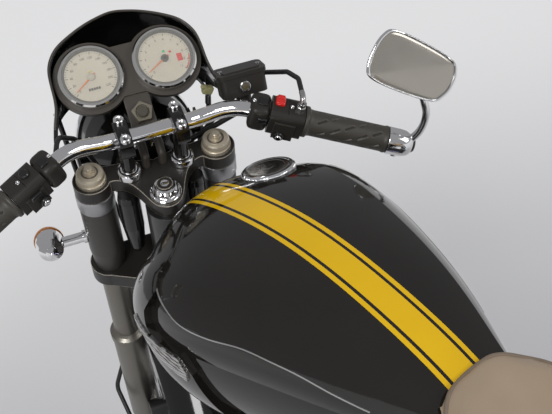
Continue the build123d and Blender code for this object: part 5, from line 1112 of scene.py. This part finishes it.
cloth.point_cache.frame_start = 1
cloth.point_cache.frame_end = moments
for moment in range(1, moments + 1):
    bpy.context.scene.frame_set(moment)
swollen = as_mesh(pad)
pad.modifiers.clear()
bpy.context.scene.frame_set(1)
pad.data = swollen
pad_low, pad_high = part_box("seat")
end_stays, slip_share, forward_share = 0.04, 0.4, 0.92
nose_from, nose_over, crown_from, crown_over, crown_half, crown_rise = 480, 90, 55, 45, 66, 10.5
corner_from, corner_over, corner_pull = 34, 26, 15
for vertex, start, normal in zip(pad.data.vertices, pad_start, pad_normals):
    move = vertex.co - start
    near_end = min(start.x - pad_low.x, pad_high.x - start.x)
    room = (swells_top if normal.z > upward else swells_side) * within(near_end, 0, end_stays)
    outward_move = move.dot(normal)
    allowed = min(max(outward_move, -sinks), room)
    vertex.co = start + normal * allowed + (move - normal * outward_move) * slip_share
    from_back, aside, above = (bike.inverted() @ vertex.co) * 1000
    ahead = within(from_back, nose_from, nose_over)
    inner = max(0.0, 1 - (aside / crown_half) ** 2)
    upper = within(above, rail_height + crown_from, crown_over)
    swell = crown_rise * ahead * ahead * (3 - 2 * ahead) * inner * upper / 1000
    pulled = corner_pull * ahead * ahead * within(abs(aside), corner_from, corner_over) / 1000
    vertex.co += Vector((forward_share * swell - pulled, 0, swell))
pad_skin = skin_of(pad.data)
half_widths = ((165, 105), (195, 105.5), (240, 106), (290, 105.5), (340, 104), (390, 101), (440, 96),
               (480, 90), (520, 82))
edge_in, seam_in, nose_x, nose_long, nose_half, seam_x = 15, 8, 520, 47, 67, 232


def on_pad(x, y):
    """A point on the pad's upper side, in millimetres."""
    return met(pad_skin, x, y, 1100, (0, 0, -1))


def laid_line(spots, count=8):
    """A smooth line on the pad through spots; one beside it is passed over."""
    return eased([point for point in (on_pad(x, y) for x, y in spots) if point], count)


left_edge = [(x, half - edge_in) for x, half in half_widths]
nose = [(nose_x + nose_long * sin(radians(turn)), nose_half * cos(radians(turn)))
        for turn in range(20, 161, 14)]
edge_line = laid_line(left_edge + nose + [(x, -y) for x, y in reversed(left_edge)])
piping, stitches, cross_seam = [bmesh.new() for _ in range(3)]
tube(piping, edge_line, 2.6)
inner_line = laid_line([(x, y - seam_in) for x, y in left_edge], 10)
sunk, lifted = Vector((0, 0, 0.2)), Vector((0, 0, 0.7))
for line in (inner_line, [Vector((point.x, -point.y, point.z)) for point in inner_line]):
    for start, end in zip(line[::2], line[1::2]):
        tube(stitches, [start + sunk, (start + end) / 2 + lifted, end + sunk], 0.5, 6)
tube(cross_seam, laid_line([(seam_x, y) for y in range(-90, 91, 18)]), 1.7, 10)
pad.data.materials.clear()
pad.data.materials.append(hide_tan)
for face in pad.data.polygons:
    face.use_smooth = True
settle(pad, "SUBSURF", levels=1, render_levels=1)
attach(pad, "frame")
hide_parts("seat")
fit("seat_piping", piping, piping_tan, "frame", "seat_leather")
fit("seat_stitches", stitches, thread_pale, "frame", "seat_leather")
fit("seat_cross_seam", cross_seam, piping_tan, "frame", "seat_leather")

# Footrests and stands: cast alloy hangers, with ribbed rubber pushed on the pegs. Both stands are
# welded of steel tube and painted in the frame's enamel.
wear(cast_alloy, "footrests")
wear(frame_enamel, "centre_stand", "side_stand")
peg_rubbers = bmesh.new()
peg_line, rib_pitch, rib_count = [(11.6, 12)], 8.6, 9
for rib in range(rib_count):
    start = rib_pitch * rib
    peg_line += [(14.2, 13 + start), (14.2, 18 + start), (12.6, 19 + start), (12.6, 20.6 + start)]
peg_line += [(14.4, 91), (14.4, 94), (13, 95.8), (0, 95.9)]
for side in (1, -1):
    spin(peg_rubbers, peg_line, facing((456, side * 152.3, 343), (0, side, 0)), 32)
fit("peg_rubbers", peg_rubbers, grip_rubber, "frame", "rubber")
